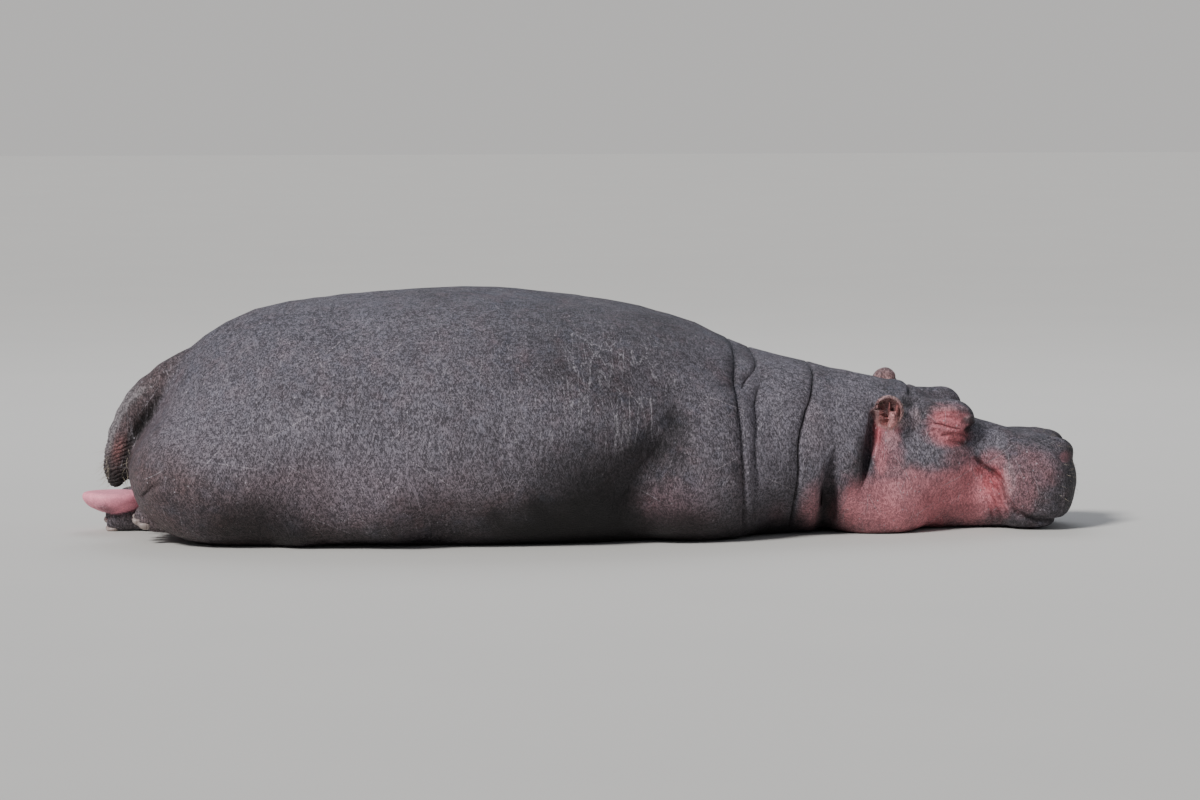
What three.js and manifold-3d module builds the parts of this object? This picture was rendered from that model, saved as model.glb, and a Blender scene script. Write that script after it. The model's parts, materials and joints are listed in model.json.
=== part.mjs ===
// A hippopotamus asleep on its belly: a still, life-size figure.
//
// Frame: millimetres, +X towards the nose, +Y towards the animal's left, +Z up. The origin is on the
// floor, under the middle of the belly. The animal leans a few degrees to its right. Its forelegs are
// folded beside and under the chest, and its hind feet trail behind the rump with their soles turned up.
//
// The trunk, neck and head are one lofted skin. Its sections are found on a field: a cored shape that
// runs from the hips to the snout, with rounded masses melted into it. Limbs are chains of round
// segments, also lofted. The whole is then parted with thin cuts into the parts a person would name.

import * as THREE from 'three';
import { LoftGeometry } from 'three/addons/geometries/LoftGeometry.js';
import { mergeVertices } from 'three/addons/utils/BufferGeometryUtils.js';
import Module from 'manifold-3d';

const wasm = await Module();
wasm.setup();

// ---------------------------------------------------------------- driving dimensions

const LEAN = THREE.MathUtils.degToRad(6); // roll towards the animal's right
const LEAN_AXIS_Z = 300; // height of the axis it rolls about
const GAP = 1.2; // clearance between neighbouring solids
const NECK_X = 470; // shoulder fold, where the trunk ends
const HEAD_X = 880; // fold behind the ears, where the neck ends
const RIGHT = -1;
const LEFT = 1;
const SIDES = { right: RIGHT, left: LEFT };

// The core of the body. Each station: x, height of the back, half width, height of the widest level,
// depth that the belly would reach below the floor, and how square the section is.
const CORE = [
  { x: -1600, top: 340, half: 60, mid: 260, sink: -180, square: 2 },
  { x: -1560, top: 430, half: 90, mid: 280, sink: -110, square: 2 },
  { x: -1485, top: 560, half: 190, mid: 310, sink: -40, square: 2.1 },
  { x: -1400, top: 650, half: 310, mid: 335, sink: 10, square: 2.15 },
  { x: -1270, top: 733, half: 410, mid: 355, sink: 30, square: 2.2 },
  { x: -1150, top: 782, half: 458, mid: 370, sink: 40, square: 2.2 },
  { x: -880, top: 832, half: 520, mid: 365, sink: 50, square: 2.25 },
  { x: -530, top: 856, half: 555, mid: 360, sink: 55, square: 2.3 },
  { x: -180, top: 836, half: 550, mid: 350, sink: 50, square: 2.3 },
  { x: 90, top: 796, half: 500, mid: 335, sink: 40, square: 2.3 },
  { x: 300, top: 738, half: 430, mid: 320, sink: 15, square: 2.3 },
  { x: 450, top: 670, half: 375, mid: 305, sink: 8, square: 2.3 },
  { x: 540, top: 634, half: 345, mid: 295, sink: 6, square: 2.3 },
  { x: 700, top: 593, half: 318, mid: 275, sink: 5, square: 2.3 },
  { x: 850, top: 564, half: 285, mid: 255, sink: 5, square: 2.2 },
  { x: 990, top: 533, half: 235, mid: 245, sink: 4, square: 2.2 },
  { x: 1090, top: 508, half: 195, mid: 240, sink: 5, square: 2.3 },
  { x: 1200, top: 450, half: 165, mid: 230, sink: 8, square: 2.5 },
  { x: 1300, top: 400, half: 132, mid: 215, sink: 8, square: 2.6 },
  { x: 1380, top: 370, half: 135, mid: 195, sink: 4, square: 2.6 },
  { x: 1470, top: 340, half: 172, mid: 180, sink: -8, square: 2.7 },
  { x: 1560, top: 318, half: 195, mid: 172, sink: -25, square: 2.8 },
];

// Rounded masses melted into the core: centre, radii, the width of the melt, and paired ones on both sides.
const MASSES = [
  { name: 'pelvis', at: [-1060, 0, 385], radii: [455, 400, 400], melt: 90 },
  { name: 'rump', at: [-1350, 0, 250], radii: [272, 330, 215], melt: 60 },
  { name: 'haunch', at: [-1300, 222, 260], radii: [332, 258, 242], melt: 110, paired: true },
  { name: 'shoulder', at: [330, 300, 268], radii: [200, 165, 238], melt: 110, paired: true },
  { name: 'jowl', at: [975, 135, 155], radii: [185, 125, 185], melt: 60, paired: true },
  { name: 'cheek', at: [1130, 118, 245], radii: [150, 72, 105], melt: 60, paired: true },
  { name: 'brow', at: [1222, 120, 412], radii: [82, 58, 66], melt: 35, paired: true },
  { name: 'brow_ridge', at: [1145, 112, 415], radii: [85, 55, 60], melt: 30, paired: true },
  { name: 'lip', at: [1526, 108, 168], radii: [145, 108, 150], melt: 50, paired: true },
  { name: 'snout', at: [1560, 0, 178], radii: [132, 185, 150], melt: 50 },
  { name: 'nostril', at: [1604, 84, 284], radii: [64, 48, 44], melt: 28, paired: true },
];

// ---------------------------------------------------------------- the body's field

// Value of a station's field at x, on a smooth curve through the stations.
function along(stations, key, x) {
  const last = stations.length - 1;
  const slope = (i) => {
    const a = stations[Math.max(i - 1, 0)];
    const b = stations[Math.min(i + 1, last)];
    return (b[key] - a[key]) / (b.x - a.x);
  };
  const clamped = THREE.MathUtils.clamp(x, stations[0].x, stations[last].x);
  let i = 0;
  while (i < last - 1 && clamped > stations[i + 1].x) i++;
  const [p, q] = [stations[i], stations[i + 1]];
  const span = q.x - p.x;
  const t = (clamped - p.x) / span;
  const rise = t * t * (3 - 2 * t);
  return (
    p[key] * (1 - rise) + q[key] * rise +
    slope(i) * span * t * (1 - t) * (1 - t) - slope(i + 1) * span * t * t * (1 - t)
  );
}

// Distances are measured along the ray from the middle of a section or mass.
function coreDistance(p) {
  const at = Object.fromEntries(
    ['top', 'half', 'mid', 'sink', 'square'].map((key) => [key, along(CORE, key, p.x)]),
  );
  const rise = p.z - at.mid;
  const height = rise > 0 ? at.top - at.mid : at.mid + at.sink;
  const share = Math.pow(
    Math.pow(Math.abs(p.y) / at.half, at.square) + Math.pow(Math.abs(rise) / height, at.square),
    1 / at.square,
  );
  const inPlane = Math.hypot(p.y, rise) * (1 - 1 / Math.max(share, 1e-6));
  const beyond = Math.max(CORE[0].x - p.x, p.x - CORE[CORE.length - 1].x, 0);
  return beyond ? Math.hypot(Math.max(inPlane, 0), beyond) : inPlane;
}

function massDistance(p, mass, side) {
  const d = [p.x - mass.at[0], p.y - side * mass.at[1], p.z - mass.at[2]];
  const share = Math.hypot(...d.map((v, i) => v / mass.radii[i]));
  return Math.hypot(...d) * (1 - 1 / Math.max(share, 1e-6));
}

function melted(a, b, width) {
  const near = Math.max(width - Math.abs(a - b), 0);
  return Math.min(a, b) - (near * near) / (4 * width);
}

// Turns a point of the leaning animal back to its upright frame.
function upright(p) {
  const z = p.z - LEAN_AXIS_Z;
  return new THREE.Vector3(
    p.x,
    p.y * Math.cos(LEAN) + z * Math.sin(LEAN),
    LEAN_AXIS_Z - p.y * Math.sin(LEAN) + z * Math.cos(LEAN),
  );
}

function leaning(p) {
  const z = p.z - LEAN_AXIS_Z;
  return new THREE.Vector3(
    p.x,
    p.y * Math.cos(LEAN) - z * Math.sin(LEAN),
    LEAN_AXIS_Z + p.y * Math.sin(LEAN) + z * Math.cos(LEAN),
  );
}

function bodyField(world) {
  const p = upright(world);
  let d = coreDistance(p);
  for (const mass of MASSES)
    for (const side of mass.paired ? [RIGHT, LEFT] : [LEFT])
      d = melted(d, massDistance(p, mass, side), mass.melt);
  return d;
}

// ---------------------------------------------------------------- solids

const WELD = 1e-3; // corners closer than this are one

function solidOf(geometry) {
  const bare = new THREE.BufferGeometry();
  bare.setAttribute('position', geometry.attributes.position);
  bare.setIndex(geometry.index);
  const merged = mergeVertices(bare, WELD);
  const build = (triVerts) => new wasm.Manifold(
    new wasm.Mesh({
      numProp: 3,
      vertProperties: new Float32Array(merged.attributes.position.array),
      triVerts,
    }),
  );
  const made = build(Uint32Array.from(merged.index.array));
  return made.volume() >= 0 ? made : build(Uint32Array.from(merged.index.array).reverse());
}

function geometryOf(solid) {
  const mesh = solid.getMesh();
  const positions = new Float32Array(mesh.numVert * 3);
  for (let i = 0; i < mesh.numVert; i++)
    positions.set(mesh.vertProperties.subarray(i * mesh.numProp, i * mesh.numProp + 3), i * 3);
  const geometry = new THREE.BufferGeometry();
  geometry.setAttribute('position', new THREE.BufferAttribute(positions, 3));
  geometry.setIndex(new THREE.BufferAttribute(mesh.triVerts, 1));
  geometry.computeVertexNormals();
  return geometry;
}

function boxSolid(low, high) {
  const size = high.map((v, i) => v - low[i]);
  const middle = high.map((v, i) => (v + low[i]) / 2);
  return solidOf(new THREE.BoxGeometry(...size).translate(...middle));
}

// An ellipsoid; its facets are counted round it and from pole to pole.
function ellipsoidSolid(matrix, radii, facets) {
  const geometry = new THREE.SphereGeometry(1, ...facets).scale(...radii);
  return solidOf(geometry.applyMatrix4(matrix));
}

// A loft whose rings stand on a path; each ring's points lie where rays from the path leave the field.
function fieldLoft(field, rings, spokes, reach) {
  const sections = rings.map(({ centre, u, v }) =>
    Array.from({ length: spokes }, (_, i) => {
      const angle = (i / spokes) * 2 * Math.PI;
      const ray = u.clone().multiplyScalar(Math.cos(angle)).addScaledVector(v, Math.sin(angle));
      return centre.clone().addScaledVector(ray, rayLength(field, centre, ray, reach));
    }),
  );
  return solidOf(new LoftGeometry(sections, { capStart: true, capEnd: true }));
}

// Length at which a ray from inside the field leaves it for the last time within reach.
function rayLength(field, from, ray, reach) {
  const STEPS = 40;
  const HALVINGS = 16;
  const valueAt = (t) => field(from.clone().addScaledVector(ray, t));
  let outside = reach;
  let step = reach / STEPS;
  while (outside > step && valueAt(outside - step) > 0) outside -= step;
  let inside = Math.max(outside - step, 0);
  for (let i = 0; i < HALVINGS; i++) {
    const middle = (inside + outside) / 2;
    if (valueAt(middle) > 0) outside = middle;
    else inside = middle;
  }
  return (inside + outside) / 2;
}

// ---------------------------------------------------------------- trunk, neck and head

const SPOKES = 26;
const TRUNK_STEP = 125; // between rings of the trunk and neck
const HEAD_STEP = 46; // between rings of the head
const END_RINGS = 5; // closer rings that round off each end
const END_DEPTH = 110; // length that they take up
const END_INSET = 0.4; // first ring, from the very end
const REACH = 1000; // no skin lies farther than this from the axis
const HIPS_X = -1150;
const RUMP = MASSES.find((mass) => mass.name === 'rump');

// The axis that the rings are drawn around. Behind the hips it sinks to the widest part of the rump.
function axisPoint(x) {
  const behind = THREE.MathUtils.smoothstep(-x, -HIPS_X, -RUMP.at[0]);
  const height = THREE.MathUtils.lerp(along(CORE, 'mid', Math.max(x, HIPS_X)), RUMP.at[2], behind);
  return leaning(new THREE.Vector3(x, 0, height));
}

function bodyRings() {
  const [backwards, forwards] = [new THREE.Vector3(-1, 0, 0), new THREE.Vector3(1, 0, 0)];
  const [hips, snout] = [RUMP.at[0], CORE.at(-1).x];
  const rear = hips - rayLength(bodyField, axisPoint(hips), backwards, REACH);
  const front = snout + rayLength(bodyField, axisPoint(snout), forwards, REACH);
  const xs = [];
  for (let i = 0; i <= END_RINGS; i++) {
    const inset = END_INSET + END_DEPTH * (i / END_RINGS) ** 2;
    xs.push(rear + inset, front - inset);
  }
  const [trunkStart, headEnd] = [rear + END_DEPTH + TRUNK_STEP, front - END_DEPTH - HEAD_STEP / 2];
  for (let x = trunkStart; x < HEAD_X - TRUNK_STEP / 2; x += TRUNK_STEP) xs.push(x);
  for (let x = HEAD_X; x < headEnd; x += HEAD_STEP) xs.push(x);
  xs.sort((a, b) => a - b);
  return xs.map((x) => ({
    centre: axisPoint(x),
    u: new THREE.Vector3(0, 1, 0),
    v: new THREE.Vector3(0, 0, 1),
  }));
}

const body = fieldLoft(bodyField, bodyRings(), SPOKES, REACH);

// ---------------------------------------------------------------- limbs

// Each limb follows its joints, from the shoulder or hip down, with the fleshed radius at each.
// 'foot' is the middle of the foot's pad, 'toes' the way the foot points and 'top' the way its
// upper side faces; a 'tucked' foot is partly under the body, and a 'sole' is the broad cushion that
// a turned-up foot shows, flat on top at its height. 'girdle' is the oval, seen from the
// side, that marks the limb off on the trunk, from a distance 'inner' off the middle outwards, and
// 'forearm' a box that holds what reaches forward out of it.
const LIMBS = {
  foreleg_left: {
    side: LEFT,
    joints: [[330, 300, 390, 165], [215, 460, 190, 145], [400, 560, 128, 116], [605, 598, 98, 92]],
    foot: [690, 606, 56],
    toes: [1, 0.06, -0.05],
    top: [0, 0.1, 1],
    girdle: { at: [300, 200], radii: [190, 330], inner: 150 },
    forearm: { low: [300, 440, -10], high: [800, 800, 300] },
  },
  foreleg_right: {
    side: RIGHT,
    joints: [[330, -280, 380, 150], [205, -325, 160, 118], [430, -235, 98, 92], [575, -120, 78, 70]],
    foot: [638, -75, 54],
    tucked: true,
    toes: [0.95, 0.3, -0.02],
    top: [0, 0, 1],
    girdle: { at: [300, 200], radii: [190, 330], inner: 150 },
    forearm: { low: [300, -440, -10], high: [620, -60, 130] },
  },
  hindleg_left: {
    side: LEFT,
    joints: [
      [-1130, 240, 380, 200], [-760, 430, 200, 165], [-1080, 462, 140, 130], [-1340, 390, 110, 102],
      [-1480, 288, 88, 82],
    ],
    foot: [-1560, 228, 68],
    toes: [-0.96, 0.28, -0.08],
    top: [0, 0.45, -0.89],
    sole: { at: [-1690, 192, 130], radii: [115, 98, 74], height: 138 },
    girdle: { at: [-1200, 230], radii: [560, 400], inner: 110 },
  },
  hindleg_right: {
    side: RIGHT,
    joints: [
      [-1130, -240, 380, 200], [-760, -375, 190, 160], [-1060, -330, 130, 125], [-1260, -200, 100, 95],
      [-1385, -130, 84, 80],
    ],
    foot: [-1458, -120, 76],
    tucked: true,
    toes: [-1, 0.02, 0.06],
    top: [0, 0.1, -1],
    girdle: { at: [-1200, 230], radii: [560, 400], inner: 110 },
  },
};

const ROUND_STEPS = 10; // facets round a limb
const DRUM_STEPS = 18;
const DOME_STEPS = 2; // facets from a limb's side to the pole of its round end

// A straight round cone between two points, with a ball's end at each.
function boneSolid(from, to, fromRadius, toRadius) {
  const [start, end] = [new THREE.Vector3(...from), new THREE.Vector3(...to)];
  const span = start.distanceTo(end);
  const touch = Math.asin((fromRadius - toRadius) / span); // latitude where the cone meets both balls
  const dome = (radius, height, low, high) =>
    Array.from({ length: DOME_STEPS + 1 }, (_, i) => {
      const latitude = THREE.MathUtils.lerp(low, high, i / DOME_STEPS);
      return new THREE.Vector2(
        Math.max(radius * Math.cos(latitude), 0), height + radius * Math.sin(latitude),
      );
    });
  const pole = Math.PI / 2;
  const profile = [...dome(fromRadius, 0, -pole, touch), ...dome(toRadius, span, touch, pole)];
  profile[0].x = 0;
  profile[profile.length - 1].x = 0;
  const upright = new THREE.Vector3(0, 1, 0);
  const turn = new THREE.Quaternion().setFromUnitVectors(upright, end.sub(start).normalize());
  const lathe = new THREE.LatheGeometry(profile, ROUND_STEPS);
  return solidOf(lathe.applyQuaternion(turn).translate(...from));
}

function limbSolid({ joints }) {
  const bones = joints.slice(1).map(([x, y, z, radius], i) => {
    const [fromX, fromY, fromZ, fromRadius] = joints[i];
    return boneSolid([fromX, fromY, fromZ], [x, y, z], fromRadius, radius);
  });
  return wasm.Manifold.union(bones);
}

// The room that a limb takes out of the whole: an oval drum from its inner face outwards, and the
// forearm's box.
function limbRegion({ side, girdle, forearm }, grow = 0) {
  const drum = new THREE.CylinderGeometry(1, 1, REACH, DRUM_STEPS);
  drum.scale(girdle.radii[0] + grow, 1, girdle.radii[1] + grow);
  const middle = side * (girdle.inner - grow + REACH / 2);
  const oval = solidOf(drum.translate(girdle.at[0], middle, girdle.at[1]));
  if (!forearm) return oval;
  const low = forearm.low.map((v) => v - grow);
  const high = forearm.high.map((v) => v + grow);
  return oval.add(boxSolid(low, high));
}

// ---------------------------------------------------------------- feet

const PAD_RADII = [112, 104, 54];
const TOES = [-80, -28, 28, 80]; // across the foot
const TOE_REACH = 80; // middle of a side toe, ahead of the pad's middle
const TOE_LEAD = 30; // how much farther the two middle toes reach
const TOE_RADII = [66, 27, 41];
const TOE_DROP = 8; // toes lie a little lower than the pad
const TOE_FAN = 0.003; // turn of a toe for each millimetre that it stands off the middle
const POCKET_RADII = [125, 145, 75];
const PAD_FACETS = [10, 4]; // round an ellipsoid and from pole to pole
const TOE_FACETS = [6, 4];
const NAIL_FACETS = [5, 3];
const SOLE_FACETS = [12, 6];
const NAIL_RADII = [20, 21, 19];
const NAIL_AHEAD = 50; // nail's middle, ahead of the toe's
const NAIL_RISE = 12; // nail's middle, above the toe's

function footFrame(limb) {
  const x = new THREE.Vector3(...limb.toes).normalize();
  const top = new THREE.Vector3(...limb.top);
  const y = top.cross(x).normalize();
  const z = x.clone().cross(y);
  return new THREE.Matrix4().makeBasis(x, y, z).setPosition(...limb.foot);
}

function placed(frame, x, y, z) {
  return frame.clone().multiply(new THREE.Matrix4().makeTranslation(x, y, z));
}

// Toes fan out a little and the middle two reach farthest.
function toeFrames(limb) {
  return TOES.map((across) => {
    const lead = TOE_LEAD * (1 - Math.abs(across) / TOES.at(-1));
    const frame = placed(footFrame(limb), TOE_REACH + lead, across, -TOE_DROP);
    return frame.multiply(new THREE.Matrix4().makeRotationZ(across * TOE_FAN));
  });
}

function padSolid(limb, grow = 0) {
  return ellipsoidSolid(footFrame(limb), PAD_RADII.map((r) => r + grow), PAD_FACETS);
}

function soleSolid({ sole }, grow = 0) {
  const frame = new THREE.Matrix4().makeTranslation(...sole.at);
  const cushion = ellipsoidSolid(frame, sole.radii.map((r) => r + grow), SOLE_FACETS);
  return cushion.trimByPlane([0, 0, -1], -sole.height - grow);
}

function footSolid(limb) {
  const toes = toeFrames(limb).map((frame) => ellipsoidSolid(frame, TOE_RADII, TOE_FACETS));
  const soles = limb.sole ? [soleSolid(limb)] : [];
  return wasm.Manifold.union([padSolid(limb), ...toes, ...soles]);
}

// Room for a foot in what it touches; a tucked foot's toes lie in a rounded pocket.
function footRoom(limb) {
  const room = limb.sole ? padSolid(limb, GAP).add(soleSolid(limb, GAP)) : padSolid(limb, GAP);
  if (!limb.tucked) return room;
  return room.add(ellipsoidSolid(placed(footFrame(limb), TOE_REACH, 0, 0), POCKET_RADII, PAD_FACETS));
}

function nailSolids(limb, grow = 0) {
  return toeFrames(limb).map((frame) =>
    ellipsoidSolid(placed(frame, NAIL_AHEAD, 0, NAIL_RISE), NAIL_RADII.map((r) => r + grow), NAIL_FACETS),
  );
}

// ---------------------------------------------------------------- tail

// Middle line of the tail, with its half width across and half thickness.
const TAIL = [
  [-1440, -30, 580, 66, 70],
  [-1500, -31, 545, 62, 60],
  [-1556, -34, 503, 58, 52],
  [-1598, -37, 463, 55, 46],
  [-1632, -41, 418, 50, 41],
  [-1658, -45, 365, 46, 36],
  [-1674, -48, 305, 42, 32],
  [-1682, -50, 250, 38, 28],
  [-1684, -50, 205, 30, 23],
  [-1684, -50, 178, 14, 11],
];
const TAIL_RINGS = 15;
const TAIL_SPOKES = 12;

// The tail is flattened from side to side: wide from front to back, thin across.
function tailSolid(grow = 0) {
  const points = TAIL.map(([x, y, z]) => new THREE.Vector3(x, y, z));
  const path = new THREE.CatmullRomCurve3(points, false, 'centripetal');
  const last = TAIL.length - 1;
  const sections = [];
  for (let i = 0; i <= TAIL_RINGS; i++) {
    const t = i / TAIL_RINGS;
    const station = Math.min(Math.floor(t * last), last - 1);
    const at = (k) => THREE.MathUtils.lerp(TAIL[station][k], TAIL[station + 1][k], t * last - station);
    const tangent = path.getTangent(t);
    const across = new THREE.Vector3(0, 1, 0);
    const fore = across.clone().cross(tangent).normalize();
    const end = i === 0 ? -grow : i === TAIL_RINGS ? grow : 0;
    const centre = path.getPoint(t).addScaledVector(tangent, end);
    sections.push(
      Array.from({ length: TAIL_SPOKES }, (_, k) => {
        const angle = (k / TAIL_SPOKES) * 2 * Math.PI;
        return centre.clone()
          .addScaledVector(fore, (at(3) + grow) * Math.cos(angle))
          .addScaledVector(across, (at(4) + grow) * Math.sin(angle));
      }),
    );
  }
  return solidOf(new LoftGeometry(sections, { capStart: true, capEnd: true }));
}

// ---------------------------------------------------------------- head: ears, lids, nostrils, jaw

const EAR_AT = [966, 204, 458]; // middle of an ear, in the upright frame
const EAR_RADII = [57, 34, 64];
const EAR_YAW = 0.05;
const EAR_ROLL = 0.1;
const EAR_HOLLOW_RADII = [42, 30, 49];
const EAR_HOLLOW_SHIFT = [-2, 20, 4]; // the cup opens outwards
const EAR_FACETS = [10, 6];
const SMALL_FACETS = [10, 5]; // of the ear's hollow, the eyelid and the nostril
const LID_AT = [1208, 150, 396];
const LID_RADII = [46, 26, 27];
const NOSTRIL_AT = [1600, 92, 320];
const NOSTRIL_YAW = 0.5;
const NOSTRIL_ROLL = 0.3;
const NOSTRIL_RADII = [22, 9, 20];

// A frame in the upright animal, mirrored to a side, turned about the vertical and then leant.
function headFrame([x, y, z], side, yaw = 0, roll = 0) {
  const turn = new THREE.Euler(-side * roll, 0, side * yaw, 'ZYX');
  const local = new THREE.Matrix4().makeRotationFromEuler(turn).setPosition(x, side * y, z);
  const lean = new THREE.Matrix4().makeTranslation(0, 0, LEAN_AXIS_Z)
    .multiply(new THREE.Matrix4().makeRotationX(LEAN))
    .multiply(new THREE.Matrix4().makeTranslation(0, 0, -LEAN_AXIS_Z));
  return lean.multiply(local);
}

function earSolid(side, grow = 0) {
  const frame = headFrame(EAR_AT, side, EAR_YAW, EAR_ROLL);
  return ellipsoidSolid(frame, EAR_RADII.map((r) => r + grow), EAR_FACETS);
}

function earHollow(side) {
  const frame = headFrame(EAR_AT, side, EAR_YAW, EAR_ROLL);
  const [x, y, z] = EAR_HOLLOW_SHIFT;
  return ellipsoidSolid(placed(frame, x, side * y, z), EAR_HOLLOW_RADII, SMALL_FACETS);
}

function lidSolid(side, grow = 0) {
  return ellipsoidSolid(headFrame(LID_AT, side), LID_RADII.map((r) => r + grow), SMALL_FACETS);
}

function nostrilPit(side) {
  const frame = headFrame(NOSTRIL_AT, side, NOSTRIL_YAW, NOSTRIL_ROLL);
  return ellipsoidSolid(frame, NOSTRIL_RADII, SMALL_FACETS);
}

// The lower jaw, seen from the side: its hinge, the corner of the mouth and the line of the lips.
const JAW_OUTLINE = [
  [940, -60], [940, 60], [1010, 170], [1120, 205], [1260, 190], [1370, 175],
  [1410, 120], [1440, 60], [1500, 38], [1720, 34], [1720, -60],
];

function jawSolid(grow = 0) {
  const shape = new THREE.Shape(widened(JAW_OUTLINE, grow));
  const slab = new THREE.ExtrudeGeometry(shape, { depth: REACH, bevelEnabled: false });
  return solidOf(slab.rotateX(Math.PI / 2).translate(0, REACH / 2, 0));
}

// A closed outline moved out by a little, each corner along the middle of its two sides' normals.
function widened(outline, by) {
  const points = outline.map(([x, z]) => new THREE.Vector2(x, z));
  const normal = (a, b) => new THREE.Vector2(a.y - b.y, b.x - a.x).normalize();
  return points.map((point, i) => {
    const before = normal(points.at(i - 1), point);
    const after = normal(point, points[(i + 1) % points.length]);
    const out = before.clone().add(after);
    return point.clone().addScaledVector(out, by / (1 + before.dot(after)));
  });
}

// ---------------------------------------------------------------- parting the whole

const union = (...solids) => wasm.Manifold.union(solids);
const onFloor = (solid) => solid.trimByPlane([0, 0, 1], 0);

const CUT_FACET = 0.4; // facets that a cut leaves are joined within this, well inside the gap

// The largest piece of a solid, without the crumbs that a cut may leave.
function mainPiece(solid) {
  const pieces = solid.decompose();
  return pieces.reduce((best, piece) => (piece.volume() > best.volume() ? piece : best));
}

const materials = {
  hide: new THREE.MeshStandardMaterial({ color: 0x665d63, roughness: 0.55, metalness: 0 }),
  soft_hide: new THREE.MeshStandardMaterial({ color: 0x96666a, roughness: 0.5, metalness: 0 }),
  nail: new THREE.MeshStandardMaterial({ color: 0x8f8480, roughness: 0.4, metalness: 0 }),
};

const figure = new THREE.Group();
figure.name = 'hippopotamus';

function add(name, solid, material = materials.hide) {
  const mesh = new THREE.Mesh(geometryOf(mainPiece(onFloor(solid).simplify(CUT_FACET))), material);
  mesh.name = name;
  figure.add(mesh);
}

// Takes the limbs and feet off the whole, adds them, and returns what is left.
function partLimbs(whole) {
  let rest = whole;
  for (const [name, limb] of Object.entries(LIMBS)) {
    const nails = nailSolids(limb);
    const nailRoom = union(...nailSolids(limb, GAP));
    const extremity = name.replace('leg', 'foot');
    add(extremity, footSolid(limb).subtract(nailRoom));
    nails.forEach((nail, i) => add(`nail_${extremity}_${i + 1}`, nail, materials.nail));
    rest = rest.subtract(footRoom(limb));
    add(name, rest.intersect(limbRegion(limb)));
    rest = rest.subtract(limbRegion(limb, GAP));
  }
  return rest;
}

// Adds both ears and eyelids, and returns the head with room for them and open nostrils.
function partFace(whole) {
  let rest = whole;
  for (const [name, side] of Object.entries(SIDES)) {
    add(`ear_${name}`, earSolid(side).subtract(earHollow(side)), materials.soft_hide);
    add(`eyelid_${name}`, lidSolid(side));
    rest = rest.subtract(union(earSolid(side, GAP), lidSolid(side, GAP), nostrilPit(side)));
  }
  return rest;
}

function between(solid, from, to) {
  return solid.trimByPlane([1, 0, 0], from + GAP / 2).trimByPlane([-1, 0, 0], -to + GAP / 2);
}

const limbs = Object.values(LIMBS).map((limb) => limbSolid(limb));
const parted = partFace(partLimbs(onFloor(union(body, ...limbs))));
const whole = parted.subtract(tailSolid(GAP));
add('tail', tailSolid());
const head = between(whole, HEAD_X, REACH * 2);
add('trunk', between(whole, -REACH * 2, NECK_X));
add('neck', between(whole, NECK_X, HEAD_X));
add('head', head.subtract(jawSolid(GAP)));
add('lower_jaw', head.intersect(jawSolid()));

export default figure;
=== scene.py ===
# %% [markdown]
# # A hippopotamus asleep on its belly
# A packed set of plain solids gives this animal its size, pose and weight. This lesson dresses them:
# one continuous skin takes the place of the fleshy solids, and nails and bristles are added to it.
# The solids come in as the *frame*, in metres, with +X towards the nose, +Y to the animal's left and
# the floor at z = 0. The box round them is kept.

# %% Load the frame
import json
import math

import bpy
import bmesh
import numpy as np
from mathutils import Matrix, Vector

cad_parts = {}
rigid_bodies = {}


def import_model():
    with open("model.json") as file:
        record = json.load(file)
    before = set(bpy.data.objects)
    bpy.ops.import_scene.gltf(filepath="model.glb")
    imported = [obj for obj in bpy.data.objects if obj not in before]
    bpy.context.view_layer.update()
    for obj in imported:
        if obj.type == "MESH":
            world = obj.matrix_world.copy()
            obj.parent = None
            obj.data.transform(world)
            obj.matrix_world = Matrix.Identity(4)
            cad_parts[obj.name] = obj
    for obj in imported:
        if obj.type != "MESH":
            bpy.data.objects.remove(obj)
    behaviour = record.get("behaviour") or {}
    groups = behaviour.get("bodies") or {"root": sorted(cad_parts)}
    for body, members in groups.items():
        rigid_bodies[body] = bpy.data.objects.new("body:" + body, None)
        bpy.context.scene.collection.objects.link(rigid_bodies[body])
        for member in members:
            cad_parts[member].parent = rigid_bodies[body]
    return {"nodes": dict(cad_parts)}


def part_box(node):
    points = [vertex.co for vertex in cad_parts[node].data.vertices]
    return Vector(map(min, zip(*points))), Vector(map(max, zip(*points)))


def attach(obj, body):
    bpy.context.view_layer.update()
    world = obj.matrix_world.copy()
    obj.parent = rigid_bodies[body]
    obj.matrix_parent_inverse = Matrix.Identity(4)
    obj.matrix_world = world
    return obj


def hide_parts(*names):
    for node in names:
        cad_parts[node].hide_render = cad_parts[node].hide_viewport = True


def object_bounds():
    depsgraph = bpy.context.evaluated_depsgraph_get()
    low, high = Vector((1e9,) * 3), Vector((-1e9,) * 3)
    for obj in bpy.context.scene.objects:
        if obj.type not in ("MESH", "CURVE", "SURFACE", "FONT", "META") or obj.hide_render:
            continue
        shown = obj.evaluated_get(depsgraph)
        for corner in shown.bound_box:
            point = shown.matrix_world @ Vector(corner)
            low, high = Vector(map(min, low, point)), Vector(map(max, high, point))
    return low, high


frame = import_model()
cad_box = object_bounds()
print("solids:", len(frame["nodes"]), "box:", cad_box)

# %% [markdown]
# ## Camera, floor and light
# The camera stands some fifteen metres off the animal's right side, a little above its back, with a
# long lens, as a visitor with binoculars would. It looks a little above the animal's middle, and so
# it needs no lens shift. The main light is wide and soft, half way up the sky and to the left, so
# that the flank is lit, every fold has a dark side and the belly stays dark. A bluish lamp behind
# the animal lights the edge of its back. The world has two backgrounds: a dim sky that lights the
# scene, and a plain backdrop of the floor's own tone, which is all that is seen behind it.

# %% Camera and floor
CAMERA_AZIMUTH = math.radians(-6)
CAMERA_HEIGHT = math.radians(7)
CAMERA_DISTANCE = 14.8
LENS, SENSOR_WIDTH = 126.5, 36  # millimetres
LOOK_ABOVE = 0.46  # how far above the origin the middle of the picture is
FLOOR_HALF = 40  # half the length of the floor's sides


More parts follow.
